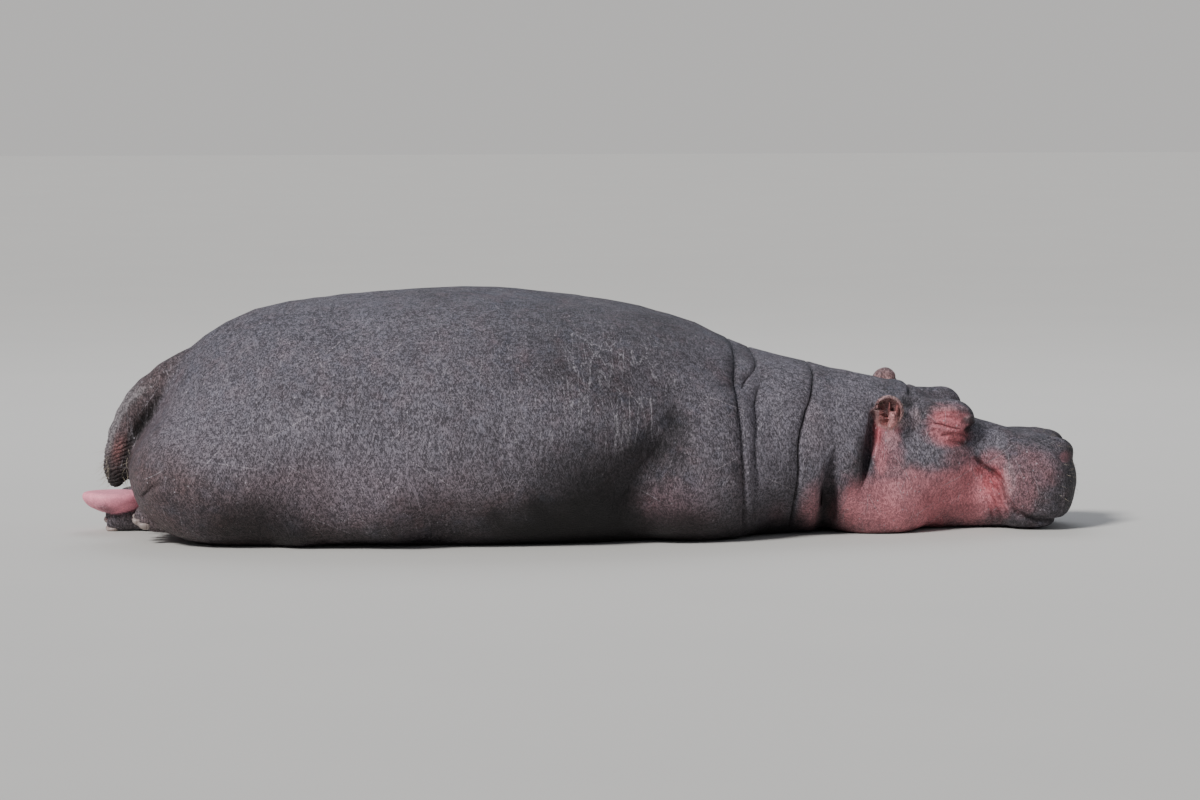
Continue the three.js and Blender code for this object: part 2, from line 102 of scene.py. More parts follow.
def direction(azimuth, height):
    """Unit vector from the origin; azimuth 0 is straight out from the animal's right side."""
    return Vector((
        math.sin(azimuth) * math.cos(height),
        -math.cos(azimuth) * math.cos(height),
        math.sin(height),
    ))


def turn_towards(target, place):
    """Rotation that points an object's -Z axis from place to target."""
    return (target - place).to_track_quat("-Z", "Y")


back = direction(CAMERA_AZIMUTH, CAMERA_HEIGHT)
up = direction(CAMERA_AZIMUTH, CAMERA_HEIGHT + math.pi / 2)
camera = bpy.data.objects.new("camera", bpy.data.cameras.new("camera"))
camera.data.lens = LENS
camera.data.sensor_width = SENSOR_WIDTH
camera.location = back * CAMERA_DISTANCE
camera.rotation_mode = "QUATERNION"
camera.rotation_quaternion = turn_towards(up * LOOK_ABOVE, camera.location)
bpy.context.scene.collection.objects.link(camera)
bpy.context.scene.camera = camera

floor_mesh = bpy.data.meshes.new("floor")
floor_mesh.from_pydata([(-1, -1, 0), (1, -1, 0), (1, 1, 0), (-1, 1, 0)], [], [(0, 1, 2, 3)])
floor_mesh.transform(Matrix.Scale(FLOOR_HALF, 4))
floor = bpy.data.objects.new("floor", floor_mesh)
bpy.context.scene.collection.objects.link(floor)
print("camera at", tuple(round(v, 2) for v in camera.location))


# %% Soft light
LIGHT_DISTANCE = 9
LIGHT_AIM = 0.4  # height of the point that the lights face
KEY_SOFTNESS = math.radians(14)  # how wide the main light looks from the floor
SKY_COLOUR, SKY_STRENGTH = (0.86, 0.9, 1, 1), 0.34
BACKDROP_COLOUR = (0.58, 0.57, 0.56, 1)


def add_light(name, kind, azimuth, height, strength, **settings):
    """A light that faces the animal; a sun's strength is the light it brings, a lamp's its power."""
    light = bpy.data.objects.new(name, bpy.data.lights.new(name, kind))
    light.data.energy = strength
    for setting, value in settings.items():
        setattr(light.data, setting, value)
    light.location = direction(math.radians(azimuth), math.radians(height)) * LIGHT_DISTANCE
    light.rotation_mode = "QUATERNION"
    light.rotation_quaternion = turn_towards(Vector((0, 0, LIGHT_AIM)), light.location)
    bpy.context.scene.collection.objects.link(light)


add_light("key_light", "SUN", azimuth=-48, height=42, strength=3.9, angle=KEY_SOFTNESS)
add_light("back_lamp", "AREA", azimuth=175, height=55, strength=220, size=5, color=(0.85, 0.9, 1))
world = bpy.data.worlds.new("studio")
world.use_nodes = True
nodes, links = world.node_tree.nodes, world.node_tree.links
soft_sky = nodes["Background"]
soft_sky.inputs["Color"].default_value = SKY_COLOUR
soft_sky.inputs["Strength"].default_value = SKY_STRENGTH
backdrop = nodes.new("ShaderNodeBackground")
backdrop.inputs["Color"].default_value = BACKDROP_COLOUR
seen = nodes.new("ShaderNodeMixShader")
links.new(nodes.new("ShaderNodeLightPath").outputs["Is Camera Ray"], seen.inputs[0])
links.new(soft_sky.outputs[0], seen.inputs[1])
links.new(backdrop.outputs[0], seen.inputs[2])
links.new(seen.outputs[0], nodes["World Output"].inputs[0])
bpy.context.scene.world = world

# %% [markdown]
# ## The shape as a field
# Skin flows without a seam from trunk to leg to toe, so it is easier to describe by a *field* than
# by faces: a function that is negative inside the animal, positive outside and zero on the skin.
# Simple forms are written as distances, and two of them are *melted* together by rounding the
# smaller of their distances, as wax would be. The same forms gave the solids their shape.

# %% Distances and melting
TINY = 1e-6  # keeps a division from meeting 0


def melted(a, b, width):
    """The union of two forms, with a fillet of that width."""
    near = np.maximum(width - np.abs(a - b), 0)
    return np.minimum(a, b) - near * near / (4 * width)


def carved(a, b, width):
    """Form a with form b taken out of it, with a rounded edge."""
    return -melted(-a, b, width)


def blob(p, radii):
    """Distance from an ellipsoid at the origin, along the ray from its middle."""
    size = np.linalg.norm(p, axis=1)
    share = np.linalg.norm(p / np.asarray(radii), axis=1)
    return size * (1 - 1 / np.maximum(share, TINY))


def bone(p, start, end, start_radius, end_radius):
    """Distance from a tapered, round-ended segment."""
    start, end = np.asarray(start), np.asarray(end)
    run = end - start
    share = np.clip((p - start) @ run / (run @ run), 0, 1)
    away = np.linalg.norm(p - start - share[:, None] * run, axis=1)
    return away - start_radius - share * (end_radius - start_radius)


def smooth_curve(x, knots, values):
    """Values at x on a smooth curve through the knots."""
    knots, values = np.asarray(knots, float), np.asarray(values, float)
    slopes = np.gradient(values)
    slopes[1:-1] = (values[2:] - values[:-2]) / (knots[2:] - knots[:-2])
    slopes[0] = (values[1] - values[0]) / (knots[1] - knots[0])
    slopes[-1] = (values[-1] - values[-2]) / (knots[-1] - knots[-2])
    x = np.clip(x, knots[0], knots[-1])
    i = np.clip(np.searchsorted(knots, x) - 1, 0, len(knots) - 2)
    span = knots[i + 1] - knots[i]
    t = (x - knots[i]) / span
    rise = t * t * (3 - 2 * t)
    bend = slopes[i] * t * (1 - t) ** 2 - slopes[i + 1] * t * t * (1 - t)
    return values[i] * (1 - rise) + values[i + 1] * rise + span * bend


print("half way from 0 to 1 on the smooth curve:", smooth_curve(0.5, [0, 1], [0, 1]))

# %% [markdown]
# ## Trunk, neck and head
# The core of the body is a row of *stations* from the hips to the snout. Each has the height of the
# back, the half width, the height of the widest level, how far below the floor the belly would
# reach, and how square the section is. Rounded masses are melted into it: rump, haunches,
# shoulders, jowls, cheeks, brows and the parts of the muzzle. The whole leans to the animal's right.

# %% Stations and masses
LEAN = math.radians(6)
LEAN_AXIS = 0.3  # height of the axis that the body rolls about

# the key names what each station gives, in metres, but for how square its section is
CORE = {
    "x": [-1.6, -1.56, -1.485, -1.4, -1.27, -1.15, -0.88, -0.53, -0.18, 0.09, 0.3,
          0.45, 0.54, 0.7, 0.85, 0.99, 1.09, 1.2, 1.3, 1.38, 1.47, 1.56],
    "top": [.34, .43, .56, .65, .733, .782, .832, .856, .836, .796, .738,
            .67, .634, .593, .564, .533, .508, .45, .4, .37, .34, .318],
    "half": [.06, .09, .19, .31, .41, .458, .52, .555, .55, .5, .43,
             .375, .345, .318, .285, .235, .195, .165, .132, .135, .172, .195],
    "mid": [.26, .28, .31, .335, .355, .37, .365, .36, .35, .335, .32,
            .305, .295, .275, .255, .245, .24, .23, .215, .195, .18, .172],
    "sink": [-.18, -.11, -.04, .01, .03, .04, .05, .055, .05, .04, .015,
             .008, .006, .005, .005, .004, .005, .008, .008, .004, -.008, -.025],
    "square": [2, 2, 2.1, 2.15, 2.2, 2.2, 2.25, 2.3, 2.3, 2.3, 2.3,
               2.3, 2.3, 2.3, 2.2, 2.2, 2.3, 2.5, 2.6, 2.6, 2.7, 2.8],
}

# name: middle, radii, width of the melt; where the middle is off the mid plane, there are two
MASSES = {
    "pelvis": ([-1.06, 0, 0.385], [0.455, 0.4, 0.4], 0.09),
    "rump": ([-1.35, 0, 0.25], [0.272, 0.33, 0.215], 0.06),
    "haunch": ([-1.3, 0.222, 0.26], [0.332, 0.258, 0.242], 0.11),
    "shoulder": ([0.33, 0.3, 0.268], [0.2, 0.165, 0.238], 0.11),
    "jowl": ([0.975, 0.135, 0.155], [0.185, 0.125, 0.185], 0.06),
    "cheek": ([1.13, 0.118, 0.245], [0.15, 0.072, 0.105], 0.06),
    "brow": ([1.222, 0.12, 0.412], [0.082, 0.058, 0.066], 0.035),
    "brow_ridge": ([1.145, 0.112, 0.415], [0.085, 0.055, 0.06], 0.03),
    "lip": ([1.526, 0.108, 0.168], [0.145, 0.108, 0.15], 0.05),
    "snout": ([1.56, 0, 0.178], [0.132, 0.185, 0.15], 0.05),
    "nostril": ([1.604, 0.084, 0.284], [0.064, 0.048, 0.044], 0.028),
}

STATION_STEP = 0.004
fine_x = np.arange(CORE["x"][0], CORE["x"][-1] + STATION_STEP, STATION_STEP)
fine_core = {key: smooth_curve(fine_x, CORE["x"], CORE[key]) for key in CORE if key != "x"}
print("stations along the body:", len(fine_x))


# %% The body's field
def rolled(p, angle):
    """Points turned about the long axis that the body leans on."""
    y, z = p[:, 1], p[:, 2] - LEAN_AXIS
    cos, sin = math.cos(angle), math.sin(angle)
    return np.stack([p[:, 0], y * cos - z * sin, LEAN_AXIS + y * sin + z * cos], axis=1)


def core_distance(p):
    x, y = p[:, 0], p[:, 1]
    top, half, mid, sink, square = (np.interp(x, fine_x, fine_core[key]) for key in fine_core)
    rise = p[:, 2] - mid
    height = np.where(rise > 0, top - mid, mid + sink)
    share = (np.abs(y / half) ** square + np.abs(rise / height) ** square) ** (1 / square)
    in_plane = np.hypot(y, rise) * (1 - 1 / np.maximum(share, TINY))
    beyond = np.maximum(np.maximum(CORE["x"][0] - x, x - CORE["x"][-1]), 0)
    return np.where(beyond > 0, np.hypot(np.maximum(in_plane, 0), beyond), in_plane)


def body_distance(p):
    """Distance of points in the world from the trunk, neck and head."""
    own = rolled(p, -LEAN)
    d = core_distance(own)
    for middle, radii, melt in MASSES.values():
        for side in ((-1, 1) if middle[1] else (1,)):
            d = melted(d, blob(own - np.array(middle) * (1, side, 1), radii), melt)
    return d


print("middle of the back is at", fine_core["top"].max(), "m")

# %% [markdown]
# ## Limbs, feet and tail
# Each limb is a chain of tapered segments from the shoulder or hip down, melted at its joints. The
# forelegs are folded beside and under the chest. The hind feet trail behind the rump, soles up. A
# foot is a cushion with four toes fanned out in front, and the left hind foot shows its broad, smooth
# sole behind the rump. The tail hangs down in a curve; it is flattened from side to side, so its
# distance is measured in a space that is stretched across.

# %% Limbs
# limb: x, y, z and radius at each joint
LIMBS = {
    "foreleg_left": [(.33, .3, .39, .165), (.215, .46, .19, .145),
                     (.4, .56, .128, .116), (.605, .598, .098, .092)],
    "foreleg_right": [(.33, -.28, .38, .15), (.205, -.325, .16, .118),
                      (.43, -.235, .098, .092), (.575, -.12, .078, .07)],
    "hindleg_left": [(-1.13, .24, .38, .2), (-.76, .43, .2, .165), (-1.08, .462, .14, .13),
                     (-1.34, .39, .11, .102), (-1.48, .288, .088, .082)],
    "hindleg_right": [(-1.13, -.24, .38, .2), (-.76, -.375, .19, .16), (-1.06, -.33, .13, .125),
                      (-1.26, -.2, .1, .095), (-1.385, -.13, .084, .08)],
}
LIMB_MELT = 0.05  # fillet where a limb leaves the body
JOINT_MELT = 0.03


def limb_distance(p, joints):
    d = np.full(len(p), np.inf)
    for (*start, start_radius), (*end, end_radius) in zip(joints, joints[1:]):
        segment = bone(p, start, end, start_radius, end_radius)
        d = segment if np.isinf(d[0]) else melted(d, segment, JOINT_MELT)
    return d


print("joints of the limbs:", {limb: len(joints) for limb, joints in LIMBS.items()})

# %% Feet
# foot: its middle, the way its toes point, the way its upper side faces
FEET = {
    "forefoot_left": ((.69, .606, .056), (1, .06, -.05), (0, .1, 1)),
    "forefoot_right": ((.638, -.075, .054), (.95, .3, -.02), (0, 0, 1)),
    "hindfoot_left": ((-1.56, .228, .068), (-.96, .28, -.08), (0, .45, -.89)),
    "hindfoot_right": ((-1.458, -.12, .076), (-1, .02, .06), (0, .1, -1)),
}
PAD_RADII = (.112, .104, .054)
TOES_ACROSS = (-.08, -.028, .028, .08)
TOE_REACH = 0.08  # middle of a side toe, ahead of the pad's middle
TOE_LEAD = 0.03  # how much farther the two middle toes reach
TOE_RADII = (.066, .027, .041)
TOE_DROP = 0.008
TOE_FAN = 3.0  # turn of a toe, in radians for each metre that it stands off the middle
TOE_MELT = 0.012
SOLE_MIDDLE, SOLE_RADII = (-1.69, .192, .13), (.113, .096, .063)  # the left hind foot's cushion
SOLE_TOP = 0.136  # it is flat above
SOLE_ROLL = 0.016
SOLE_MELT = 0.024


def foot_frame(foot):
    """Matrix from a foot's own axes (toes, across, top) to the world."""
    middle, toes, top = (Vector(v) for v in FEET[foot])
    x = toes.normalized()
    y = top.cross(x).normalized()
    axes = Matrix((x, y, x.cross(y))).transposed().to_4x4()
    return Matrix.Translation(middle) @ axes


def toe_frame(foot, across):
    """Matrix of one toe, whose X axis points out of the foot."""
    reach = TOE_REACH + TOE_LEAD * (1 - abs(across) / TOES_ACROSS[-1])
    place = Matrix.Translation((reach, across, -TOE_DROP))
    return foot_frame(foot) @ place @ Matrix.Rotation(across * TOE_FAN, 4, "Z")


def local(p, matrix):
    """World points in the axes of a matrix."""
    inverse = np.array(matrix.inverted())
    return p @ inverse[:3, :3].T + inverse[:3, 3]


def sole_distance(p):
    return carved(blob(p - SOLE_MIDDLE, SOLE_RADII), SOLE_TOP - p[:, 2], SOLE_ROLL)


def foot_distance(p, foot):
    d = blob(local(p, foot_frame(foot)), PAD_RADII)
    for across in TOES_ACROSS:
        d = melted(d, blob(local(p, toe_frame(foot, across)), TOE_RADII), TOE_MELT)
    if foot == "hindfoot_left":
        d = melted(d, sole_distance(p), SOLE_MELT)
    return d


print("feet:", len(FEET), "toes:", len(FEET) * len(TOES_ACROSS))

# %% Tail
# x, y and z of the middle line, half width from front to back, half thickness across
TAIL = [
    (-1.44, -.03, .58, .066, .07), (-1.5, -.031, .545, .062, .06), (-1.556, -.034, .503, .058, .052),
    (-1.598, -.037, .463, .055, .046), (-1.632, -.041, .418, .05, .041), (-1.658, -.045, .365, .046, .036),
    (-1.674, -.048, .305, .042, .032), (-1.682, -.05, .25, .038, .028), (-1.684, -.05, .209, .031, .024),
]
TAIL_MELT = 0.02  # between one length of the tail and the next


def tail_distance(p):
    d = np.full(len(p), np.inf)
    for a, b in zip(TAIL, TAIL[1:]):
        start, end = np.array(a[:3]), np.array(b[:3])
        run = end - start
        share = np.clip((p - start) @ run / (run @ run), 0, 1)
        off = p - start - share[:, None] * run
        wide = a[3] + share * (b[3] - a[3])
        thin = a[4] + share * (b[4] - a[4])
        fore = np.hypot(off[:, 0], off[:, 2])
        segment = (np.hypot(fore / wide, off[:, 1] / thin) - 1) * thin
        d = segment if np.isinf(d[0]) else melted(d, segment, TAIL_MELT)
    return d


print("lengths of the tail:", len(TAIL) - 1)

# %% [markdown]
# ## Ears, lids and nostrils
# The small forms of the head come in pairs, so they are described once, in the animal's own upright
# axes, and a point on either side is first folded onto the left one. Ears and eyelids sit where
# their solids do. An ear is a thick-rimmed cup that opens outwards and a little forwards, with
# soft lobes inside it; the lid is a bulge over the closed eye; a nostril is a slanting pit. The ears
# move apart from each other: the left one is pricked, farther forward, and turned to the front.

# %% Forms of the head
EAR_YAW, EAR_ROLL = 0.05, 0.1
EAR_SHIFT = (.017, 0, -.006)  # the skin's ear is a little smaller and lower than its solid
EAR_PRICK, EAR_TURN = (.056, 0, .015), 1.0  # the left ear is pricked forwards and turned to the front
EAR_RADII = (.055, .034, .06)
EAR_HOLLOWS = [((-.001, .025, .003), (.046, .034, .052)), ((-.017, .022, .016), (.023, .047, .026))]
# the soft ridges inside: the first is the large pink one
EAR_LOBES = [((.015, .013, -.022), (.014, .02, .03)), ((.004, .002, .012), (.006, .014, .024)),
             ((-.022, .002, -.004), (.02, .012, .005)), ((-.018, .004, -.022), (.02, .014, .007)),
             ((.03, .006, .0), (.008, .014, .034)), ((-.043, .004, -.044), (.011, .014, .04))]
EAR_HOLLOW_ROLL, EAR_LOBE_MELT = 0.01, 0.006
LID_RADII = (.05, .03, .032)
EYE_PIT_AT, EYE_PIT_RADII = (1.282, .162, .365), (.033, .03, .021)  # in front of the closed eye
NOSTRIL_AT, NOSTRIL_RADII = (1.6, .092, .322), (.026, .011, .02)
NOSTRIL_YAW, NOSTRIL_ROLL = 0.5, 0.3
print("hollows in an ear:", len(EAR_HOLLOWS), "lobes:", len(EAR_LOBES))


# %% Axes of the head's forms
def folded(p):
    """Points in the animal's upright axes, with the right side laid over the left one."""
    own = rolled(p, -LEAN)
    own[:, 1] = np.abs(own[:, 1])
    return own


def own_middle(node):
    """The middle of a solid's box, folded onto the left side."""
    low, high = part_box(node)
    return folded(np.array([(low + high) / 2]))[0]


def head_frame(at, yaw=0.0, roll=0.0):
    turn = Matrix.Rotation(yaw, 4, "Z") @ Matrix.Rotation(-roll, 4, "X")
    return Matrix.Translation(Vector(at)) @ turn


ear_at = own_middle("ear_left") + EAR_SHIFT
ear_frame = head_frame(ear_at, EAR_YAW, EAR_ROLL)
pricked_frame = head_frame(ear_at + EAR_PRICK, EAR_YAW - EAR_TURN, EAR_ROLL)
lid_frame = head_frame(own_middle("eyelid_left"))
nostril_frame = head_frame(NOSTRIL_AT, NOSTRIL_YAW, NOSTRIL_ROLL)


def ear_axes(p):
    """World points in the own axes of the ear on their side."""
    own = folded(p)
    q = local(own, ear_frame)
    left = rolled(p, -LEAN)[:, 1] > 0
    q[left] = local(own[left], pricked_frame)
    return q


print("right ear at", ear_at.round(3), "left ear at", (ear_at + EAR_PRICK).round(3))


# %% Distances from the head's forms
def ear_distance(p):
    q = ear_axes(p)
    cup = blob(q, EAR_RADII)
    for middle, radii in EAR_HOLLOWS:
        cup = carved(cup, blob(q - middle, radii), EAR_HOLLOW_ROLL)
    for middle, radii in EAR_LOBES:
        cup = melted(cup, blob(q - middle, radii), EAR_LOBE_MELT)
    return cup


def lid_distance(p):
    return blob(local(folded(p), lid_frame), LID_RADII)


def eye_pit_distance(p):
    return blob(folded(p) - EYE_PIT_AT, EYE_PIT_RADII)


def nostril_distance(p):
    return blob(local(folded(p), nostril_frame), NOSTRIL_RADII)


print("half sizes of ear, lid and nostril:", EAR_RADII, LID_RADII, NOSTRIL_RADII)

# %% [markdown]
# ## Lines and slots in the side view
# Where the body bends, thick hide folds. Each fold is drawn as a line of a few points, x and
# z, on the animal's right side, which faces the camera; the left side gets the same lines, shifted
# a little. The widest folds are slots, taken out of the field: one runs down behind the ear and the
# jaw, and one where the jowl laps over the throat. Their back walls slope, and their front ones are
# steep.

# %% Lines and slots
LINE_POINTS = 6  # points on a smooth line for each one given
STRAY = 0.008  # how far the left side's lines are shifted
SIDE_BLEND = 0.2  # the shift grows to its full size this far off the mid plane


def smooth_line(points):
    """Points close together on a smooth line through a few given ones."""
    points = np.array(points)
    knots = np.r_[0, np.cumsum(np.hypot(*np.diff(points, axis=0).T))]
    fine = np.linspace(0, knots[-1], LINE_POINTS * len(points))
    return np.stack([smooth_curve(fine, knots, points[:, k]) for k in range(2)], 1)


def off_line(side_view, line):
    """Distance of side-view points from a line, positive on its front side, and the share along it."""
    best = np.full(len(side_view), np.inf)
    front, along = np.ones(len(side_view)), np.zeros(len(side_view))
    for i, (start, end) in enumerate(zip(line, line[1:])):
        run = end - start
        off = side_view - start
        share = np.clip(off @ run / (run @ run), 0, 1)
        away = np.hypot(*(off - share[:, None] * run).T)
        closer = away < best
        best[closer] = away[closer]
        front[closer] = np.sign(off[closer, 0] * -run[1] + off[closer, 1] * run[0])
        along[closer] = ((i + share) / (len(line) - 1))[closer]
    return best * front, along


def eased(value, low, high):
    """0 below low, 1 above high, and smooth between them."""
    t = np.clip((value - low) / (high - low), 0, 1)
    return t * t * (3 - 2 * t)


def side_view(p):
    """x and z of points as they would lie on the right side, and slightly shifted for the left one."""
    own = rolled(p, -LEAN)
    left = eased(own[:, 1], 0, SIDE_BLEND)
    own[:, 1] = -np.abs(own[:, 1])
    near = rolled(own, LEAN)
    shift = STRAY * np.sin(near[:, 0] * 9 + near[:, 2] * 14)
    return np.stack([near[:, 0] + left * shift, near[:, 2]], 1)


print("three points by hand make", len(smooth_line([(0, 0), (1, 0), (1, 1)])), "points of a smooth line")

# %% Slots
# slot: points, half width, depth, and how steep its back wall is next to its front one
SLOTS = {
    "ear_slot": ([(.94, .437), (.938, .41), (.934, .375), (.926, .33), (.915, .285),
                  (.905, .24), (.894, .185)], .012, .05, .4),
    "jowl_edge": ([(.789, .33), (.786, .28), (.784, .241), (.782, .175), (.787, .094),
                   (.798, .03)], .005, .03, .4),
}
SLOT_ROLL = 0.014  # rounding of a slot's edges
SLOT_TIP = 0.25  # width of a slot's tips, as a share of its width
SLOT_END = 0.02  # share of its length at which a slot is cut off

LINES = {name: smooth_line(slot[0]) for name, slot in SLOTS.items()}


def near_line(view, name, reach):
    """Which side-view points lie in the box round a line, enlarged by reach."""
    low, high = LINES[name].min(0) - reach, LINES[name].max(0) + reach
    return np.flatnonzero(((view > low) & (view < high)).all(axis=1))


def slot_distance(view, d, name):
    """Distance from the room in a slot, for side-view points that are d away from the skin."""
    _, half_width, depth, slope = SLOTS[name]
    away, along = off_line(view, LINES[name])
    away = np.where(away > 0, away, -away * slope)
    fullness = np.sin(math.pi * np.clip(along, SLOT_END, 1 - SLOT_END)) ** 0.5
    width_here = half_width * (SLOT_TIP + (1 - SLOT_TIP) * fullness)
    return -melted(width_here - away, d + depth * fullness, SLOT_ROLL)


print("slots:", list(SLOTS))

# %% [markdown]
# ## The whole field
# The parts are joined one after another, each only where it is near, to save time. Last, the floor
# is taken out of the animal: its weight flattens what it rests on, and the skin rolls in a little
# at the edge of that flat.

# %% Joining the parts
ROOM = 0.075  # a part is left alone farther off than this
FOOT_MELT, TAIL_ROOT_MELT, EAR_MELT, LID_MELT = 0.02, 0.035, 0.014, 0.016
PIT_ROLL = 0.012  # rounding of the edges of nostrils and eye pits
NOSTRILS_FROM, NOSTRILS_ABOVE = 1.5, 0.2  # x and z where the muzzle's pits begin
SLOTS_X, SLOTS_REACH = 0.87, 0.2  # the slots lie round here along the body
FLOOR_ROLL = 0.02  # rounding where the skin meets the floor
SIDES = ("left", "right")


def limb_box(joints):
    """The two far corners of the box round a limb."""
    ends = np.array([joint[:3] for joint in joints])
    radii = np.array([[joint[3]] for joint in joints])
    return (ends - radii).min(0), (ends + radii).max(0)


PARTS = [(limb_box(joints), lambda p, j=joints: limb_distance(p, j), LIMB_MELT)
         for joints in LIMBS.values()]
PARTS += [(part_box(foot), lambda p, f=foot: foot_distance(p, f), FOOT_MELT) for foot in FEET]
PARTS += [(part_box("tail"), tail_distance, TAIL_ROOT_MELT)]
PARTS += [(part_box("ear_" + side), ear_distance, EAR_MELT) for side in SIDES]
PARTS += [(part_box("eyelid_" + side), lid_distance, LID_MELT) for side in SIDES]
muzzle_low, muzzle_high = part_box("head")
NOSTRIL_BOX = (Vector((NOSTRILS_FROM, muzzle_low.y, NOSTRILS_ABOVE)), muzzle_high)
PITS = [(NOSTRIL_BOX, nostril_distance)]
PITS += [(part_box("eyelid_" + side), eye_pit_distance) for side in SIDES]


def near_box(p, box):
    """Which points lie in a box, or no farther from it than ROOM."""
    low, high = np.array(box[0]) - ROOM, np.array(box[1]) + ROOM
    return np.flatnonzero(((p > low) & (p < high)).all(axis=1))


def skin_distance(p):
    """Distance of points from the skin, negative inside the animal."""
    d = body_distance(p)
    for box, part, melt in PARTS:
        near = near_box(p, box)
        if len(near):
            d[near] = melted(d[near], part(p[near]), melt)
    for box, pit in PITS:
        near = near_box(p, box)
        if len(near):
            d[near] = carved(d[near], pit(p[near]), PIT_ROLL)
    neck = np.flatnonzero(np.abs(p[:, 0] - SLOTS_X) < SLOTS_REACH)
    if len(neck):
        view = side_view(p[neck])
        for name in SLOTS:
            near = near_line(view, name, ROOM)
            at = neck[near]
            d[at] = carved(d[at], slot_distance(view[near], d[at], name), SLOT_ROLL)
    return carved(d, p[:, 2], FLOOR_ROLL)


print("field at the middle of the belly:", skin_distance(np.array([[0.0, 0.0, 0.3]])))

# %% [markdown]
# ## From field to mesh
# The field is read at the corners of a grid of small cubes, but only in blocks near the skin. Every
# cube that the skin passes through gets one corner of the mesh, at the mean of the places where its
# edges cross the skin, and every crossed edge gets a face. This is known as *surface nets*. The
# corners are then drawn onto the skin itself, by steps down the field's slope.

# %% Reading the field on a grid
CELL = 0.0078
BLOCK = 8  # cubes along a block's side
NEAR_BLOCKS = 1.7  # a block is read if the skin is this many block sides from its middle, or less
CHUNK = 300_000  # points read at once, to save memory


def in_chunks(function, p):
    return np.concatenate([function(p[i:i + CHUNK]) for i in range(0, len(p), CHUNK)])


def read_grid(low, high):
    """The field on a grid that covers the box, true near the skin and right in sign elsewhere."""
    blocks = np.ceil((high - low) / (CELL * BLOCK)).astype(int)
    corner = np.stack(np.meshgrid(*map(np.arange, blocks), indexing="ij"), -1).reshape(-1, 3)
    middle = in_chunks(skin_distance, low + (corner + 0.5) * BLOCK * CELL)
    values = np.empty(blocks * BLOCK, np.float32)
    tiled = values.reshape(blocks[0], BLOCK, blocks[1], BLOCK, blocks[2], BLOCK)
    tiled[...] = np.sign(middle).reshape(blocks)[:, None, :, None, :, None]
    near = corner[np.abs(middle) < NEAR_BLOCKS * BLOCK * CELL]
    steps = np.stack(np.meshgrid(*[np.arange(BLOCK)] * 3, indexing="ij"), -1).reshape(-1, 3)
    cell = (near[:, None] * BLOCK + steps).reshape(-1, 3)
    values[tuple(cell.T)] = in_chunks(skin_distance, low + cell * CELL)
    return values


print("side of a cube:", CELL, "m")


# %% Surface nets
def surface_net(values, low):
    """Corners and four-sided faces of the zero surface."""
    inside = values < 0
    stride = np.array([values.shape[1] * values.shape[2], values.shape[2], 1])
    cells, places = [], []
    for axis in range(3):
        lower = [slice(0, -1) if a == axis else slice(1, -1) for a in range(3)]
        upper = [slice(1, None) if a == axis else slice(1, -1) for a in range(3)]
        start = np.stack(np.nonzero(inside[tuple(lower)] != inside[tuple(upper)]), 1)
        start += [0 if a == axis else 1 for a in range(3)]
        step = np.eye(3, dtype=int)
        a = values[tuple(start.T)]
        b = values[tuple((start + step[axis]).T)]
        place = low + CELL * (start + (a / (a - b))[:, None] * step[axis])
        v, w = step[(axis + 1) % 3], step[(axis + 2) % 3]
        around = np.stack([start - v - w, start - w, start, start - v], 1)
        around[a > 0] = around[a > 0][:, ::-1]
        cells.append((around @ stride).ravel())
        places.append(np.repeat(place, 4, axis=0))
    cells, places = np.concatenate(cells), np.concatenate(places)
    _, index = np.unique(cells, return_inverse=True)
    count = np.bincount(index)
    corners = np.stack([np.bincount(index, places[:, k]) / count for k in range(3)], 1)
    return corners, index.reshape(-1, 4)


SLOPE_STEP = 0.0015  # over which the field's slope is measured
LEAST_SLOPE = 0.2  # keeps a corner from leaping where the field is flat


def drawn_to_skin(p, steps=3):
    """Points moved onto the skin, down the slope of the field."""
    for _ in range(steps):
        d = in_chunks(skin_distance, p)
        beside = [in_chunks(skin_distance, p + SLOPE_STEP * axis) for axis in np.eye(3)]
        slope = np.stack([value - d for value in beside], 1) / SLOPE_STEP
        move = -d[:, None] * slope / np.maximum((slope ** 2).sum(1), LEAST_SLOPE)[:, None]
        p = p + np.clip(move, -CELL, CELL)
    p[:, 2] = np.maximum(p[:, 2], 0)
    return p


MARGIN = 4 * CELL  # of the grid, round the solids
grid_low = np.array(cad_box[0]) - MARGIN
grid_high = np.array(cad_box[1]) + MARGIN
corners, quads = surface_net(read_grid(grid_low, grid_high), grid_low)
triangles = np.concatenate([quads[:, [0, 1, 2]], quads[:, [0, 2, 3]]])
corners = drawn_to_skin(corners)
print("corners:", len(corners), "triangles:", len(triangles), "lowest:", corners[:, 2].min())

# %% [markdown]
# ## Where the skin creases
# Besides the two slots, hide folds in finer creases: rings round the neck, the corner of the mouth,
# wrinkles on the chin and fine lines round the closed eye. They are drawn as lines in the side view
# too, but are pressed into the finished mesh: across its line, a crease is a narrow groove between
# two soft swellings. A line of negative depth makes a ridge. One crease is on the right side only.

